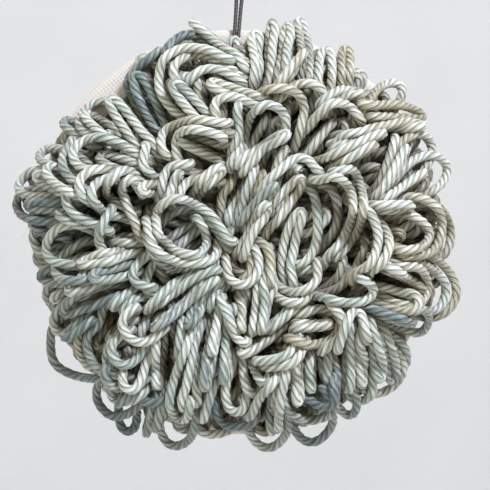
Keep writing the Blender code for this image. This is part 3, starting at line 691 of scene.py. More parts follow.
def twisted_strands(name, strands, diameter, lay, plies, ply_steps, material, chance):
    """One mesh of strands: each a tube whose section is a ring of plies that winds as it runs.

    A ply has a faint seam down its middle, because the yarn's plies come in pairs. The map counts
    plies across and millimetres along.
    """
    around = plies * ply_steps
    ply_share = np.arange(around) % ply_steps / ply_steps
    groove = (1.0 + np.cos(2.0 * np.pi * ply_share)) / 2
    seam = (2.0 * (2.0 * ply_share % 1.0) - 1.0) ** 2
    radii = diameter / 2 * (PLY_CROWN - GROOVE_DEPTH * groove - SEAM_DEPTH * seam)
    turn = 2.0 * np.pi * np.arange(around) / around
    places, corners, sizes, uvs, tints, seeds, depths = [], [], [], [], [], [], []
    start = 0
    for strand in strands:
        line = strand["line"]
        rings = len(line)
        _, side, face = frames_along(line)
        walked = np.concatenate([[0.0], np.cumsum(np.linalg.norm(np.diff(line, axis=0), axis=1))])
        seed = chance.random()
        angle = seed * 2 * np.pi + turn[None, :] - 2.0 * np.pi * walked[:, None] / lay
        ring = (np.cos(angle)[..., None] * side[:, None, :] + np.sin(angle)[..., None] * face[:, None, :])
        places.append((line[:, None, :] + ring * radii[None, :, None]).reshape(-1, 3))
        ring_number, spoke = (grid.ravel() for grid in np.meshgrid(
            np.arange(rings - 1), np.arange(around), indexing="ij"))
        after = (spoke + 1) % around
        low, high = start + ring_number * around, start + (ring_number + 1) * around
        corners.append(np.stack([low + spoke, low + after, high + after, high + spoke], axis=1).ravel())
        sizes.append(np.full(len(spoke), 4))
        here, there = walked[ring_number] / MM, walked[ring_number + 1] / MM
        ply, next_ply = spoke / ply_steps, (spoke + 1) / ply_steps
        uvs.append(np.stack([ply, here, next_ply, here, next_ply, there, ply, there], axis=1).ravel())
        for cap in (start + np.arange(around)[::-1], start + (rings - 1) * around + np.arange(around)):
            corners.append(cap)
            sizes.append([around])
            uvs.append(np.zeros(2 * around))
        dye = strand["tint"] + DYE_DRIFT * np.sin(walked / DYE_LENGTH + seed * DYE_SHIFT)
        tints.append(np.repeat(dye, around))
        seeds.append(np.full(rings * around, seed))
        # How deep each point lies in the pile, which the yarn's material paints as shade.
        depths.append(np.repeat(strand.get("depth", np.zeros(rings)), around))
        start += rings * around
    mesh = mesh_from_faces(name, np.vstack(places), np.concatenate(corners), np.concatenate(sizes))
    mesh.uv_layers.new(name="plies").uv.foreach_set("vector", np.concatenate(uvs).astype(np.float32))
    for label, values in (("tint", tints), ("seed", seeds), ("depth", depths)):
        mesh.attributes.new(label, "FLOAT", "POINT").data.foreach_set(
            "value", np.concatenate(values).astype(np.float32))
    return add_mesh_object(name, mesh, material)


def loose_fibres(strands, yarn_diameter, chance):
    """Short bent fibres that stand off the strands they are spun into."""
    fibres = []
    for _ in range(FIBRE_COUNT):
        strand = chance.choice(strands)
        at = chance.randrange(FIBRE_MARGIN, len(strand["line"]) - FIBRE_MARGIN)
        place, onward = Vector(strand["line"][at]), Vector(strand["line"][at + 1])
        onward = (onward - place).normalized()
        out = Vector((chance.uniform(-1, 1), chance.uniform(-1, 1), chance.uniform(0, 1)))
        out = (out - onward * out.dot(onward)).normalized()
        bend = Vector((chance.uniform(-1, 1), chance.uniform(-1, 1), chance.uniform(-0.6, 0.6)))
        length = chance.uniform(*FIBRE_LENGTHS) * MM
        heading = (out * chance.uniform(*FIBRE_LEANS) + onward * chance.choice((-1, 1))).normalized()
        start = place + out * yarn_diameter * FIBRE_ROOT
        line = [start + heading * length * share + bend * length * FIBRE_BEND * share ** 2
                for share in FIBRE_SHARES]
        fibres.append({"line": np.array(line), "tint": strand["tint"]})
    return fibres


def add_node(tree, kind, inputs=(), **settings):
    """A shader node with its settings, its inputs each a value or another node's output."""
    new = tree.nodes.new(kind)
    for name, value in settings.items():
        setattr(new, name, value)
    for socket, value in dict(inputs).items():
        if isinstance(value, bpy.types.NodeSocket):
            tree.links.new(value, new.inputs[socket])
        else:
            new.inputs[socket].default_value = value
    return new


def start_material(name, **sockets):
    """A material with a Principled shader whose even settings stand on its own sockets."""
    material = bpy.data.materials.new(name)
    material.use_nodes = True
    tree = material.node_tree
    shader = tree.nodes["Principled BSDF"]
    for socket, value in sockets.items():
        shader.inputs[socket.replace("_", " ")].default_value = value
    return material, tree, shader


def fill_ramp(ramp, stops):
    """Give a colour ramp node its stops, each a place and a colour."""
    elements = ramp.color_ramp.elements
    while len(elements) < len(stops):
        elements.new(1.0)
    for element, (place, colour) in zip(elements, stops):
        element.position = place
        element.color = colour


def off_middle(tree, value):
    """How far a value lies from the middle of its whole step, from 0 to 0.5."""
    place = add_node(tree, "ShaderNodeMath", {0: value}, operation="FRACT")
    middle = add_node(tree, "ShaderNodeMath", {0: place.outputs[0], 1: 0.5}, operation="SUBTRACT")
    return add_node(tree, "ShaderNodeMath", {0: middle.outputs[0]}, operation="ABSOLUTE").outputs[0]


# Cotton fibres are a fiftieth of a millimetre, so they are drawn as wider bundles that show.
BUNDLE_WIDTH = 0.265 * MM
BUNDLE_LENGTH = 2.86 * MM


def yarn_material(settings):
    """Mercerised cotton, eight plies laid up: painted highlights as silky strokes on each ply, painted
    shade between them.
    """
    material, tree, shader = start_material(
        "mercerised_cotton_yarn", Roughness=0.45, Specular_IOR_Level=0.6,
        Sheen_Weight=0.2, Sheen_Roughness=0.4, Subsurface_Weight=0.3, Subsurface_Scale=0.5 * MM,
        Subsurface_Radius=(1.0, 0.9, 0.7))
    uv = add_node(tree, "ShaderNodeUVMap", uv_map="plies")
    axes = add_node(tree, "ShaderNodeSeparateXYZ", {0: uv.outputs["UV"]})
    tint = add_node(tree, "ShaderNodeAttribute", attribute_name="tint")
    seed = add_node(tree, "ShaderNodeAttribute", attribute_name="seed")
    depth = add_node(tree, "ShaderNodeAttribute", attribute_name="depth")
    pair, along = axes.outputs["X"], axes.outputs["Y"]
    single = add_node(tree, "ShaderNodeMath", {0: pair, 1: 2.0}, operation="MULTIPLY")
    number = add_node(tree, "ShaderNodeMath", {0: single.outputs[0]}, operation="FLOOR")
    ply_key = add_node(tree, "ShaderNodeCombineXYZ", {0: number.outputs[0], 1: seed.outputs["Fac"]})
    ply_chance = add_node(tree, "ShaderNodeTexWhiteNoise", {"Vector": ply_key.outputs[0]},
                          noise_dimensions="3D")

    # Fibres run along a ply, in bundles.
    pair_width = math.pi * settings.diameter / settings.pairs
    across = add_node(tree, "ShaderNodeMath", {0: pair, 1: pair_width / BUNDLE_WIDTH},
                      operation="MULTIPLY")
    lengthwise = add_node(tree, "ShaderNodeMath", {0: along, 1: MM / BUNDLE_LENGTH},
                          operation="MULTIPLY")
    apart = add_node(tree, "ShaderNodeMath", {0: seed.outputs["Fac"], 1: 50.0}, operation="MULTIPLY")
    fibre_key = add_node(tree, "ShaderNodeCombineXYZ",
                         {0: across.outputs[0], 1: lengthwise.outputs[0], 2: apart.outputs[0]})
    fibres = add_node(tree, "ShaderNodeTexNoise", {"Vector": fibre_key.outputs[0], "Scale": 1.0,
                                                   "Detail": 2.0, "Roughness": 0.6})

    # Dye: the strand's own tint, with plies that took it a little more or less; deep down the tint is moved
    # towards warm olive, as painted shade.
    dyed = add_node(tree, "ShaderNodeMath", {0: ply_chance.outputs["Value"], 1: 0.4,
                                             2: tint.outputs["Fac"]}, operation="MULTIPLY_ADD")
    # Painted shade: the deeper the yarn lies, the further its tint moves towards olive.
    painted_shade_warmth = add_node(tree, "ShaderNodeMapRange", {"Value": depth.outputs["Fac"],
                                                   "To Min": 0.2, "To Max": 0.6})
    shifted = add_node(tree, "ShaderNodeMath", {0: dyed.outputs[0], 1: painted_shade_warmth.outputs[0]},
                       operation="SUBTRACT")
    colour = add_node(tree, "ShaderNodeValToRGB", {0: shifted.outputs[0]})
    fill_ramp(colour, ((0.0, settings.olive), (0.35, settings.pale), (0.62, settings.sage),
                       (1.0, settings.slate)))

    # Light and dark, painted into the colour: painted highlight on the middle of each pair of plies,
    # painted shade in the grooves between pairs, fainter painted shade at the seams between plies, streaks
    # of fibre, and painted shade on yarn deep down.
    # Painted highlight on the middle of each pair of plies, painted shade in the grooves between pairs.
    groove = add_node(tree, "ShaderNodeMapRange",
                      {"Value": off_middle(tree, pair), "From Max": 0.42, "To Min": 1.3, "To Max": 0.62},
                      interpolation_type="SMOOTHSTEP")
    off_single = off_middle(tree, single.outputs[0])
    # Fainter painted shade along the seam between the two plies of a pair.
    seam = add_node(tree, "ShaderNodeMapRange",
                    {"Value": off_single, "From Max": 0.5, "To Min": 1.04, "To Max": 0.9},
                    interpolation_type="SMOOTHSTEP")
    streak = add_node(tree, "ShaderNodeMapRange", {"Value": fibres.outputs["Fac"], "From Min": 0.3,
                                                   "From Max": 0.7, "To Min": 0.72, "To Max": 1.2})
    # Painted shade on yarn that lies deep in the pile.
    deep = add_node(tree, "ShaderNodeMapRange", {"Value": depth.outputs["Fac"], "From Min": 0.15,
                                                 "To Min": 1.0, "To Max": 0.55})
    value = groove.outputs[0]
    for other in (seam, streak, deep):
        value = add_node(tree, "ShaderNodeMath", {0: value, 1: other.outputs[0]},
                         operation="MULTIPLY").outputs[0]
    shade = add_node(tree, "ShaderNodeVectorMath", {0: colour.outputs[0], 3: value},
                     operation="SCALE")
    tree.links.new(shade.outputs[0], shader.inputs["Base Color"])

    # Relief: each ply is round, and its fibres lie side by side.
    round_ply = add_node(tree, "ShaderNodeMapRange",
                         {"Value": off_single, "From Max": 0.5, "To Min": 1.0, "To Max": 0.0},
                         interpolation_type="SMOOTHSTEP")
    relief = add_node(tree, "ShaderNodeMath",
                      {0: fibres.outputs["Fac"], 1: 0.5, 2: round_ply.outputs[0]},
                      operation="MULTIPLY_ADD")
    bump = add_node(tree, "ShaderNodeBump", {"Height": relief.outputs[0], "Strength": 0.8,
                                             "Distance": 0.12 * MM})
    tree.links.new(bump.outputs[0], shader.inputs["Normal"])
    return material


def foot_material():
    """The same cotton where its loops stand packed: dull and lumpy at the yarn's own width, with painted
    shade that makes it dark, darkest between the lumps.
    """
    material, tree, shader = start_material("packed_cotton_yarn", Roughness=0.9)
    place = add_node(tree, "ShaderNodeNewGeometry")
    feet = add_node(tree, "ShaderNodeTexVoronoi", {"Vector": place.outputs["Position"],
                                                   "Scale": 1.0 / (YARN_WIDTH * MM)})
    # Painted shade: dark all over, darker towards the edge of each lump.
    colour = add_node(tree, "ShaderNodeValToRGB", {0: feet.outputs["Distance"]})
    fill_ramp(colour, ((0.0, srgb("8f8f7c")), (0.7, srgb("3f3e30"))))
    tree.links.new(colour.outputs[0], shader.inputs["Base Color"])
    bump = add_node(tree, "ShaderNodeBump", {"Height": feet.outputs["Distance"], "Strength": 0.8,
                                             "Distance": 0.8 * MM}, invert=True)
    tree.links.new(bump.outputs[0], shader.inputs["Normal"])
    return material


WEAVE_TURN = 40.0                     # degrees that the threads are turned from upright
SLUB_LENGTH = 2.38 * MM               # between the thicker places in a thread


def cloth_material(settings):
    """Monk's cloth: unbleached cotton in an open basket weave, soft, matt and ribbed both ways."""
    material, tree, shader = start_material("monks_cloth_cotton", Roughness=0.9, Sheen_Weight=0.2)
    place = add_node(tree, "ShaderNodeTexCoord")
    turned = add_node(tree, "ShaderNodeMapping", {"Vector": place.outputs["Object"],
                                                  "Rotation": (0.0, math.radians(WEAVE_TURN), 0.0)})
    axes = add_node(tree, "ShaderNodeSeparateXYZ", {0: turned.outputs[0]})
    ribs = []
    for axis in ("X", "Z"):
        turns = add_node(tree, "ShaderNodeMath", {0: axes.outputs[axis], 1: math.pi / settings.rib},
                         operation="MULTIPLY")
        wave = add_node(tree, "ShaderNodeMath", {0: turns.outputs[0]}, operation="SINE")
        ribs.append(add_node(tree, "ShaderNodeMath", {0: wave.outputs[0]}, operation="ABSOLUTE"))
    weave = add_node(tree, "ShaderNodeMath", {0: ribs[0].outputs[0], 1: ribs[1].outputs[0]},
                     operation="MULTIPLY")
    slub = add_node(tree, "ShaderNodeTexNoise", {"Vector": place.outputs["Object"],
                                                 "Scale": 1.0 / SLUB_LENGTH, "Detail": 4.0})
    mixed = add_node(tree, "ShaderNodeMath", {0: weave.outputs[0], 1: slub.outputs["Fac"]},
                     operation="MULTIPLY")
    colour = add_node(tree, "ShaderNodeValToRGB", {0: mixed.outputs[0]})
    fill_ramp(colour, ((0.0, settings.shade), (0.45, settings.cream)))
    tree.links.new(colour.outputs[0], shader.inputs["Base Color"])
    bump = add_node(tree, "ShaderNodeBump", {"Height": mixed.outputs[0], "Strength": 0.6,
                                             "Distance": 0.3 * MM})
    tree.links.new(bump.outputs[0], shader.inputs["Normal"])
    return material


WEAR_LENGTH = 0.455 * MM              # of a place where the wax is rubbed


def cord_material(settings):
    """Waxed linen: dark brown, three plies under a thin wax that gives a narrow dull shine."""
    material, tree, shader = start_material("waxed_linen_cord", Roughness=0.42)
    uv = add_node(tree, "ShaderNodeUVMap", uv_map="plies")
    axes = add_node(tree, "ShaderNodeSeparateXYZ", {0: uv.outputs["UV"]})
    wear = add_node(tree, "ShaderNodeTexNoise", {"Vector": uv.outputs["UV"],
                                                 "Scale": MM / WEAR_LENGTH, "Detail": 3.0})
    # Painted highlight on each ply's crown and painted shade in its grooves, mottled by the noise of wear.
    wear_and_crown_light = add_node(tree, "ShaderNodeMath",
                    {0: wear.outputs["Fac"], 1: off_middle(tree, axes.outputs["X"])},
                    operation="SUBTRACT")
    colour = add_node(tree, "ShaderNodeValToRGB", {0: wear_and_crown_light.outputs[0]})
    fill_ramp(colour, ((0.0, settings.dark), (0.6, settings.wear_and_crown_light)))
    tree.links.new(colour.outputs[0], shader.inputs["Base Color"])
    bump = add_node(tree, "ShaderNodeBump", {"Height": wear.outputs["Fac"], "Strength": 0.3,
                                             "Distance": 0.1 * MM})
    tree.links.new(bump.outputs[0], shader.inputs["Normal"])
    return material


MOTTLE_LENGTH = 167 * MM


def plain_material(name, colour):
    """Painted board: matt, with a faint mottle."""
    material, tree, shader = start_material(name, Roughness=0.9)
    place = add_node(tree, "ShaderNodeTexCoord")
    mottle = add_node(tree, "ShaderNodeTexNoise", {"Vector": place.outputs["Object"],
                                                   "Scale": 1.0 / MOTTLE_LENGTH})
    ramp = add_node(tree, "ShaderNodeValToRGB", {0: mottle.outputs["Fac"]})
    fill_ramp(ramp, ((0.3, [channel * 0.96 for channel in colour[:3]] + [1.0]), (0.7, colour)))
    tree.links.new(ramp.outputs[0], shader.inputs["Base Color"])
    return material


def to_world(line):
    """Places across, up and off the cloth turned into the part's own frame."""
    return np.stack([CENTRE_X + line[:, 0], CLOTH_FRONT - line[:, 2], CENTRE_Z + line[:, 1]], axis=1)


def colour_property(name, description, hex_code):
    """A colour that a user can change, with its default as an sRGB hex code."""
    return FloatVectorProperty(name=name, description=description, subtype="COLOR", size=4,
                               min=0.0, max=1.0, default=srgb(hex_code))


class YarnSettings(bpy.types.PropertyGroup):
    """The yarn of the pile."""
    diameter: FloatProperty(name="Diameter", description="Width of the yarn",
                            default=YARN_WIDTH * MM, unit="LENGTH")
    lay: FloatProperty(name="Lay", description="Length of one full turn of the plies",
                       default=10.8 * MM, unit="LENGTH")
    pairs: IntProperty(name="Pairs of plies", description="How many pairs of plies are laid up", default=4)
    olive: colour_property("Olive", "Warmest dye", "b0a888")
    pale: colour_property("Pale", "Lightest dye", "dddfcd")
    sage: colour_property("Sage", "Middle dye", "b0b7a3")
    slate: colour_property("Slate", "Coolest dye", "677570")


class ClothSettings(bpy.types.PropertyGroup):
    """The ground cloth."""
    rib: FloatProperty(name="Rib", description="Width of one rib of the weave", default=0.94 * MM,
                       unit="LENGTH")
    thickness: FloatProperty(name="Thickness", description="Thickness of one layer", default=1.0 * MM,
                             unit="LENGTH")
    hem: FloatProperty(name="Hem", description="How far the turned edge runs in", default=13.5 * MM,
                       unit="LENGTH")
    cream: colour_property("Cream", "Colour of the ribs", "dad3c2")
    shade: colour_property("Shade", "Colour between the ribs", "c6bdac")


class CordSettings(bpy.types.PropertyGroup):
    """The hanging cord."""
    diameter: FloatProperty(name="Diameter", description="Width of the cord", default=1.15 * MM,
                            unit="LENGTH")
    # The grooves' colour holds painted shade; the lighter colour is rubbed wax and the painted highlight on
    # each ply's crown.
    dark: colour_property("Dark", "Colour of the wax in the grooves", "1f1a15")
    wear_and_crown_light: colour_property("Worn", "Colour where the wax is rubbed", "4d463d")


class StageSettings(bpy.types.PropertyGroup):
    """Floor, backdrop, light and camera."""
    pale: colour_property("Pale", "Colour of the floor and the backdrop", "e4e6e8")
    key: FloatProperty(name="Key light", description="Power of the main light", default=17.5, unit="POWER")
    fill: FloatProperty(name="Fill light", description="Power of the soft light", default=2.5, unit="POWER")
    wash: FloatProperty(name="Backdrop light", description="Power of each light on the backdrop",
                        default=12.0, unit="POWER")
    sky: FloatProperty(name="Room light", description="Strength of the light all round", default=0.56)


class PUNCH_OT_loop_pile(bpy.types.Operator):
    """Lay the loops on the cloth and make the pile's meshes"""
    bl_idname = "punch_needle.loop_pile"
    bl_label = "Add the loop pile"

    def execute(self, context):
        settings = context.scene.punch_yarn
        chance = random.Random(SEED)
        pile = Pile(settings.diameter)
        for i, route in enumerate(under_routes(chance)):
            group = "edge_loops" if i < len(EDGES) else "under_loops"
            pile.lay(route, chance.uniform(*UNDER_TINTS), group)
        for group, rows in GROUPS.items():
            for row in rows:
                # Loops low on the round get a darker, cooler tint: painted shade.
                low = max(0.0, -row.route[len(row.route) // 2][1] * MM / CLOTH_RADIUS)
                pile.lay(row.route, row.tint + PAINTED_SHADE_BELOW * low, group)
        pile.settle(SETTLE_ROUNDS)
        material = yarn_material(settings)
        for group in ("edge_loops", "under_loops", *GROUPS):
            strands = [{**strand, "line": to_world(strand["line"])}
                       for strand in pile.strands if strand["group"] == group]
            ply_steps = FINE_STEPS if group in GROUPS else COARSE_STEPS
            piece = twisted_strands(group, strands, settings.diameter, settings.lay, settings.pairs,
                                    ply_steps, material, chance)
            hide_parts("loop_pile")
        showing = [strand for strand in pile.strands if strand["group"] in GROUPS]
        fibres = [{**fibre, "line": to_world(fibre["line"])}
                  for fibre in loose_fibres(showing, settings.diameter, chance)]
        piece = twisted_strands("loose_fibres", fibres, FIBRE_THICKNESS, settings.lay, 1, 3,
                                material, chance)
        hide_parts("loop_pile")
        return {"FINISHED"}


class PUNCH_OT_pile_foot(bpy.types.Operator):
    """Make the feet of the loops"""
    bl_idname = "punch_needle.pile_foot"
    bl_label = "Add the pile's foot"

    def execute(self, context):
        mesh = bpy.data.meshes.new("pile_foot")
        cage = bmesh.new()
        bmesh.ops.create_uvsphere(cage, u_segments=120, v_segments=60, radius=1.0)
        behind = [vertex for vertex in cage.verts if vertex.co.z < -0.001]
        bmesh.ops.delete(cage, geom=behind, context="VERTS")
        bmesh.ops.holes_fill(cage, edges=cage.edges, sides=0)
        for vertex in cage.verts:
            flat = Vector((vertex.co.x, vertex.co.y)) * FOOT_RADIUS * FOOT_INSET
            height = float(foot_height(np.array(flat))) if vertex.co.z > 0.001 else 0.0
            lump = FOOT_LUMP * noise.noise(Vector((*flat, 0.0)) / FOOT_LUMP_SIZE)
            lump *= min(1.0, vertex.co.z * 3)
            vertex.co = (CENTRE_X + flat.x, CLOTH_FRONT - FOOT_GAP - height * FOOT_PRESS - lump,
                         CENTRE_Z + flat.y)
        bmesh.ops.recalc_face_normals(cage, faces=cage.faces)
        cage.to_mesh(mesh)
        cage.free()
        piece = add_mesh_object("pile_foot", mesh, foot_material())
        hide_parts("loop_pile")
        return {"FINISHED"}


CLOTH_SPOKES = 368
CLOTH_RINGS = 15                      # of the mesh, from the middle to the rolled edge
ROLL_STEPS = 9                        # round the rolled edge
HEM_STEPS = 9                         # along the hem behind
EDGE_WAVE = 0.5 * MM                  # how uneven the turned edge is
EDGE_WAVE_SIZE = 0.33                 # of one wave, as a share of the cloth's radius
HEM_GATHERS = 46
GATHER_DRIFT = 3.0                    # how far the edge's waves push the gathers round, in radians
GATHER_LIFT = 0.55 * MM               # how far the gathered hem stands off the cloth's back
GATHER_DEPTH = 0.45 * MM
GATHER_SCALLOP = 0.6 * MM             # how far the hem's cut edge runs in and out


class PUNCH_OT_ground_cloth(bpy.types.Operator):
    """Turn the round of cloth over at its edge into a gathered hem"""
    bl_idname = "punch_needle.ground_cloth"
    bl_label = "Add the ground cloth"

    def execute(self, context):
        settings = context.scene.punch_cloth
        half = settings.thickness / 2
        roll = -CLOTH_FRONT / 2 - half
        front = CLOTH_FRONT + half
        edge = CLOTH_RADIUS - roll - half
        profile = [(radius, front) for radius in np.linspace(0.0, edge, CLOTH_RINGS + 1)]
        for step in range(1, ROLL_STEPS + 1):
            angle = math.pi * step / ROLL_STEPS
            profile.append((edge + roll * math.sin(angle), -roll - half - roll * math.cos(angle)))
        hem_end = CLOTH_RADIUS - settings.hem
        profile += [(radius, -half) for radius in np.linspace(edge, hem_end, HEM_STEPS + 1)[1:]]
        turn = 2 * np.pi * np.arange(CLOTH_SPOKES) / CLOTH_SPOKES
        wave = np.array([noise.noise(Vector((math.cos(a), math.sin(a), 0.0)) / EDGE_WAVE_SIZE)
                         for a in turn])
        gathers = turn * HEM_GATHERS + GATHER_DRIFT * wave
        turning, last = CLOTH_RINGS + ROLL_STEPS // 2, len(profile) - 2
        rows = []
        for i, (radius, depth) in enumerate(profile[1:]):
            behind = max(0.0, (i - turning) / (last - turning))
            reach = radius + EDGE_WAVE * wave * (radius / CLOTH_RADIUS) ** 4
            fold = np.sin(gathers) * behind ** 0.6
            deep = depth - (GATHER_LIFT + GATHER_DEPTH * fold) * behind ** 0.5
            reach = reach + GATHER_SCALLOP * np.cos(gathers) * behind
            rows.append(np.stack([CENTRE_X + reach * np.sin(turn), deep,
                                  CENTRE_Z + reach * np.cos(turn)], axis=1))
        places = np.vstack([[[CENTRE_X, front, CENTRE_Z]], *rows])
        corners, sizes = [], []
        spoke = np.arange(CLOTH_SPOKES)
        after = (spoke + 1) % CLOTH_SPOKES
        corners.append(np.stack([np.zeros_like(spoke), 1 + spoke, 1 + after], axis=1).ravel())
        sizes.append(np.full(CLOTH_SPOKES, 3))
        for i in range(len(rows) - 1):
            low, high = 1 + i * CLOTH_SPOKES, 1 + (i + 1) * CLOTH_SPOKES
            corners.append(np.stack([low + spoke, high + spoke, high + after, low + after], axis=1).ravel())
            sizes.append(np.full(CLOTH_SPOKES, 4))
        mesh = mesh_from_faces("ground_cloth_hemmed", places, np.concatenate(corners),
                               np.concatenate(sizes))
        piece = add_mesh_object("ground_cloth_hemmed", mesh, cloth_material(settings))
        thicken = piece.modifiers.new("thickness", "SOLIDIFY")
        thicken.thickness = settings.thickness
        thicken.offset = 0.0
        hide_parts("ground_cloth")
        return {"FINISHED"}


STITCH_LENGTH = 4.6 * MM
STITCH_ROW = 4.3 * MM                 # between two rounds of stitches
STITCH_WIDTH = 0.85                   # of a stitch pulled tight, as a share of the yarn's width
STITCH_POINTS = 9
STITCH_GAP, STITCH_RUN = 0.02, 0.96   # where a stitch starts and how far it goes, of its length
STITCH_ROOT = 0.9 * MM                # how deep its ends stand in the cloth
STITCH_RISE = 1.9 * MM
STITCH_ROUNDING = 0.6                 # under 1, so that it lies flat between its ends
STITCH_SCATTER = 0.25                 # in millimetres
STITCH_TINTS = (0.3, 0.8)
HEM_CLEARANCE = 3.4 * MM              # between the hem's cut edge and the outermost round


class PUNCH_OT_back_stitches(bpy.types.Operator):
    """Make the rounds of flat stitches that punching leaves on the back"""
    bl_idname = "punch_needle.back_stitches"
    bl_label = "Add the back's stitches"

    def execute(self, context):
        settings = context.scene.punch_yarn
        chance = random.Random(SEED)
        back = CLOTH_FRONT + context.scene.punch_cloth.thickness
        strands = []
        radius = CLOTH_RADIUS - context.scene.punch_cloth.hem - HEM_CLEARANCE
        share = np.linspace(0.0, 1.0, STITCH_POINTS)
        while radius > STITCH_ROW / 2:
            count = max(3, round(2 * math.pi * radius / STITCH_LENGTH))
            first = chance.random()
            for i in range(count):
                start = 2 * math.pi * (i + first) / count
                angle = start + 2 * math.pi / count * (STITCH_GAP + STITCH_RUN * share)
                rise = STITCH_RISE * np.sin(np.pi * share) ** STITCH_ROUNDING
                line = np.stack([CENTRE_X + radius * np.sin(angle), back - STITCH_ROOT + rise,
                                 CENTRE_Z + radius * np.cos(angle)], axis=1)
                line += chance.uniform(-STITCH_SCATTER, STITCH_SCATTER) * MM
                strands.append({"line": line, "tint": chance.uniform(*STITCH_TINTS)})
            radius -= STITCH_ROW
        piece = twisted_strands("back_stitches", strands, settings.diameter * STITCH_WIDTH,
                                settings.lay, settings.pairs, COARSE_STEPS,
                                bpy.data.materials["mercerised_cotton_yarn"], chance)
        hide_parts("loop_pile")
        return {"FINISHED"}


# The cord's route, as its solid has it: one leg's height, reach off the wall and half the space
# between the legs, then a round bight over the hanging point.
Station = namedtuple("Station", "height reach spread")
CORD_LEG = (
    Station(-24.6 * MM, 5.30 * MM, 0.62 * MM),
    Station(-24.3 * MM, 6.30 * MM, 0.62 * MM),
    Station(-23.4 * MM, 6.95 * MM, 0.61 * MM),
    Station(-22.0 * MM, 6.95 * MM, 0.60 * MM),
    Station(-20.4 * MM, 6.50 * MM, 0.60 * MM),
    Station(-18.0 * MM, 5.95 * MM, 0.60 * MM),
    Station(-15.0 * MM, 5.30 * MM, 0.62 * MM),
    Station(-11.0 * MM, 4.50 * MM, 0.72 * MM),
    Station(-7.5 * MM, 3.75 * MM, 0.95 * MM),
    Station(-4.5 * MM, 3.15 * MM, 1.40 * MM),
    Station(-2.0 * MM, 2.60 * MM, 1.95 * MM),
)
CORD_LEAN = 0.073                     # sideways run of both legs for each unit of height
BIGHT_RADIUS = 2.2 * MM
BIGHT_SET_BACK = 0.4 * MM             # the bight lies nearer the wall than the tops of the legs
BIGHT_STEPS = 4
CORD_STEP = 0.35 * MM                 # between two rings of its mesh
CORD_LAY = 3.2 * MM                   # length of one full turn of its plies
CORD_PLIES = 3


class PUNCH_OT_hanging_cord(bpy.types.Operator):
    """Make the doubled cord from the cloth over the hanging point and back"""
    bl_idname = "punch_needle.hanging_cord"
    bl_label = "Add the hanging cord"

    def execute(self, context):
        settings = context.scene.punch_cord

        def leg(side):
            return [(row.height * CORD_LEAN + side * row.spread, -row.reach, row.height)
                    for row in CORD_LEG]

        bight = []
        for step in range(BIGHT_STEPS + 1):
            angle = math.pi - math.pi * step / BIGHT_STEPS
            bight.append((math.cos(angle) * BIGHT_RADIUS, BIGHT_SET_BACK - CORD_LEG[-1].reach,
                          math.sin(angle) * BIGHT_RADIUS))
        line = smooth_route(np.array(leg(-1) + bight + leg(1)[::-1]), CORD_STEP)
        piece = twisted_strands("hanging_cord_plied", [{"line": line, "tint": 0.5}], settings.diameter,
                                CORD_LAY, CORD_PLIES, FINE_STEPS, cord_material(settings),
                                random.Random(SEED))
        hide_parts("hanging_cord")
        return {"FINISHED"}


# Stage, in metres: its floor and backdrop stand far enough off to catch no shadow.
STAGE_HALF = 4
STAGE_NEAR = -3
STAGE_FAR = 2.2
STAGE_FLOOR = -0.62
STAGE_TOP = 3.5
BOARDS = {
    "floor": ((-STAGE_HALF, STAGE_NEAR, STAGE_FLOOR), (STAGE_HALF, STAGE_NEAR, STAGE_FLOOR),
              (STAGE_HALF, STAGE_FAR, STAGE_FLOOR), (-STAGE_HALF, STAGE_FAR, STAGE_FLOOR)),
    "backdrop": ((-STAGE_HALF, STAGE_FAR, STAGE_FLOOR), (STAGE_HALF, STAGE_FAR, STAGE_FLOOR),
                 (STAGE_HALF, STAGE_FAR, STAGE_TOP), (-STAGE_HALF, STAGE_FAR, STAGE_TOP)),
}
Lamp = namedtuple("Lamp", "name setting place size hex_code")
LAMPS = (
    Lamp("key", "key", Vector((CENTRE_X + 0.42, CLOTH_FRONT - 0.66, CENTRE_Z + 0.72)), 0.3, "d9e3ff"),
    Lamp("fill", "fill", Vector((CENTRE_X - 0.9, CLOTH_FRONT - 0.7, CENTRE_Z + 0.1)), 0.9, "e8f0ff"),
    Lamp("backdrop_wash", "wash", Vector((-1.5, 0.7, 1.0)), 1.2, "ffffff"),
    Lamp("backdrop_wash", "wash", Vector((1.5, 0.7, 1.0)), 1.2, "ffffff"),
)
ROOM_COLOUR = "fdf5e6"


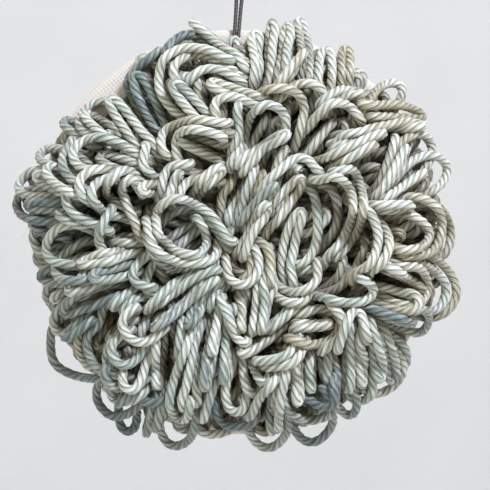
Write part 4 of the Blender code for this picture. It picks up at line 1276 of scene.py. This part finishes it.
class PUNCH_OT_stage(bpy.types.Operator):
    """Make the floor, the backdrop, the lights and the camera"""
    bl_idname = "punch_needle.stage"
    bl_label = "Add the stage"

    def execute(self, context):
        settings = context.scene.punch_stage
        scene = context.scene
        board = plain_material("matt_painted_board", settings.pale)
        for name, corners in BOARDS.items():
            mesh = mesh_from_faces(name, corners, np.arange(4), np.array([4]))
            sheet = bpy.data.objects.new(name, mesh)
            scene.collection.objects.link(sheet)
            mesh.materials.append(board)

        # The light of a pale room, shown without the film-like curve that would flatten the whites.
        scene.view_settings.view_transform = "Standard"
        world = bpy.data.worlds.new("room")
        scene.world = world
        world.use_nodes = True
        sky = world.node_tree.nodes["Background"]
        sky.inputs["Color"].default_value = srgb(ROOM_COLOUR)
        sky.inputs["Strength"].default_value = settings.sky
        piece_middle = Vector((CENTRE_X, CLOTH_FRONT, CENTRE_Z))
        backdrop_foot = Vector((0.0, STAGE_FAR, 0.0))
        for lamp in LAMPS:
            light = bpy.data.lights.new(lamp.name, "AREA")
            light.shape = "DISK"
            light.size = lamp.size
            light.energy = getattr(settings, lamp.setting)
            light.color = srgb(lamp.hex_code)[:3]
            aim = backdrop_foot if lamp.setting == "wash" else piece_middle
            stand = bpy.data.objects.new(lamp.name, light)
            stand.location = lamp.place
            stand.rotation_euler = (aim - lamp.place).to_track_quat("-Z", "Y").to_euler()
            scene.collection.objects.link(stand)

        camera = bpy.data.cameras.new("camera")
        camera.sensor_width = SENSOR_WIDTH
        camera.lens = SENSOR_WIDTH * VIEW_DISTANCE / VIEW_WIDTH
        camera.clip_start = 10 * MM
        eye = bpy.data.objects.new("camera", camera)
        eye.location = (CENTRE_X + VIEW_RIGHT, CLOTH_FRONT - VIEW_DISTANCE, CENTRE_Z + VIEW_UP)
        eye.rotation_euler = (math.radians(90.0), 0.0, 0.0)
        scene.collection.objects.link(eye)
        scene.camera = eye
        return {"FINISHED"}


class PUNCH_PT_sidebar(bpy.types.Panel):
    """Lists the settings and the pieces."""
    bl_idname = "PUNCH_PT_sidebar"
    bl_label = "Punch Needle"
    bl_space_type = "VIEW_3D"
    bl_region_type = "UI"
    bl_category = "Punch Needle"

    def draw(self, context):
        for settings in SETTINGS:
            box = self.layout.box()
            for name in getattr(context.scene, settings).bl_rna.properties.keys():
                if name not in ("rna_type", "name"):
                    box.prop(getattr(context.scene, settings), name)
        for piece in OPERATORS:
            self.layout.operator(piece.bl_idname)


OPERATORS = (PUNCH_OT_stage, PUNCH_OT_hanging_cord, PUNCH_OT_ground_cloth, PUNCH_OT_pile_foot,
             PUNCH_OT_loop_pile, PUNCH_OT_back_stitches)
SETTINGS = {"punch_yarn": YarnSettings, "punch_cloth": ClothSettings, "punch_cord": CordSettings,
            "punch_stage": StageSettings}


def register():
    for group in (*SETTINGS.values(), *OPERATORS, PUNCH_PT_sidebar):
        bpy.utils.register_class(group)
    for name, group in SETTINGS.items():
        setattr(bpy.types.Scene, name, PointerProperty(type=group))


def unregister():
    for name in SETTINGS:
        delattr(bpy.types.Scene, name)
    for group in (*SETTINGS.values(), *OPERATORS, PUNCH_PT_sidebar):
        bpy.utils.unregister_class(group)


def main():
    register()
    bpy.ops.punch_needle.stage()
    bpy.ops.punch_needle.hanging_cord()
    bpy.ops.punch_needle.ground_cloth()
    bpy.ops.punch_needle.pile_foot()
    bpy.ops.punch_needle.loop_pile()
    bpy.ops.punch_needle.back_stitches()


if __name__ == "__main__":
    main()
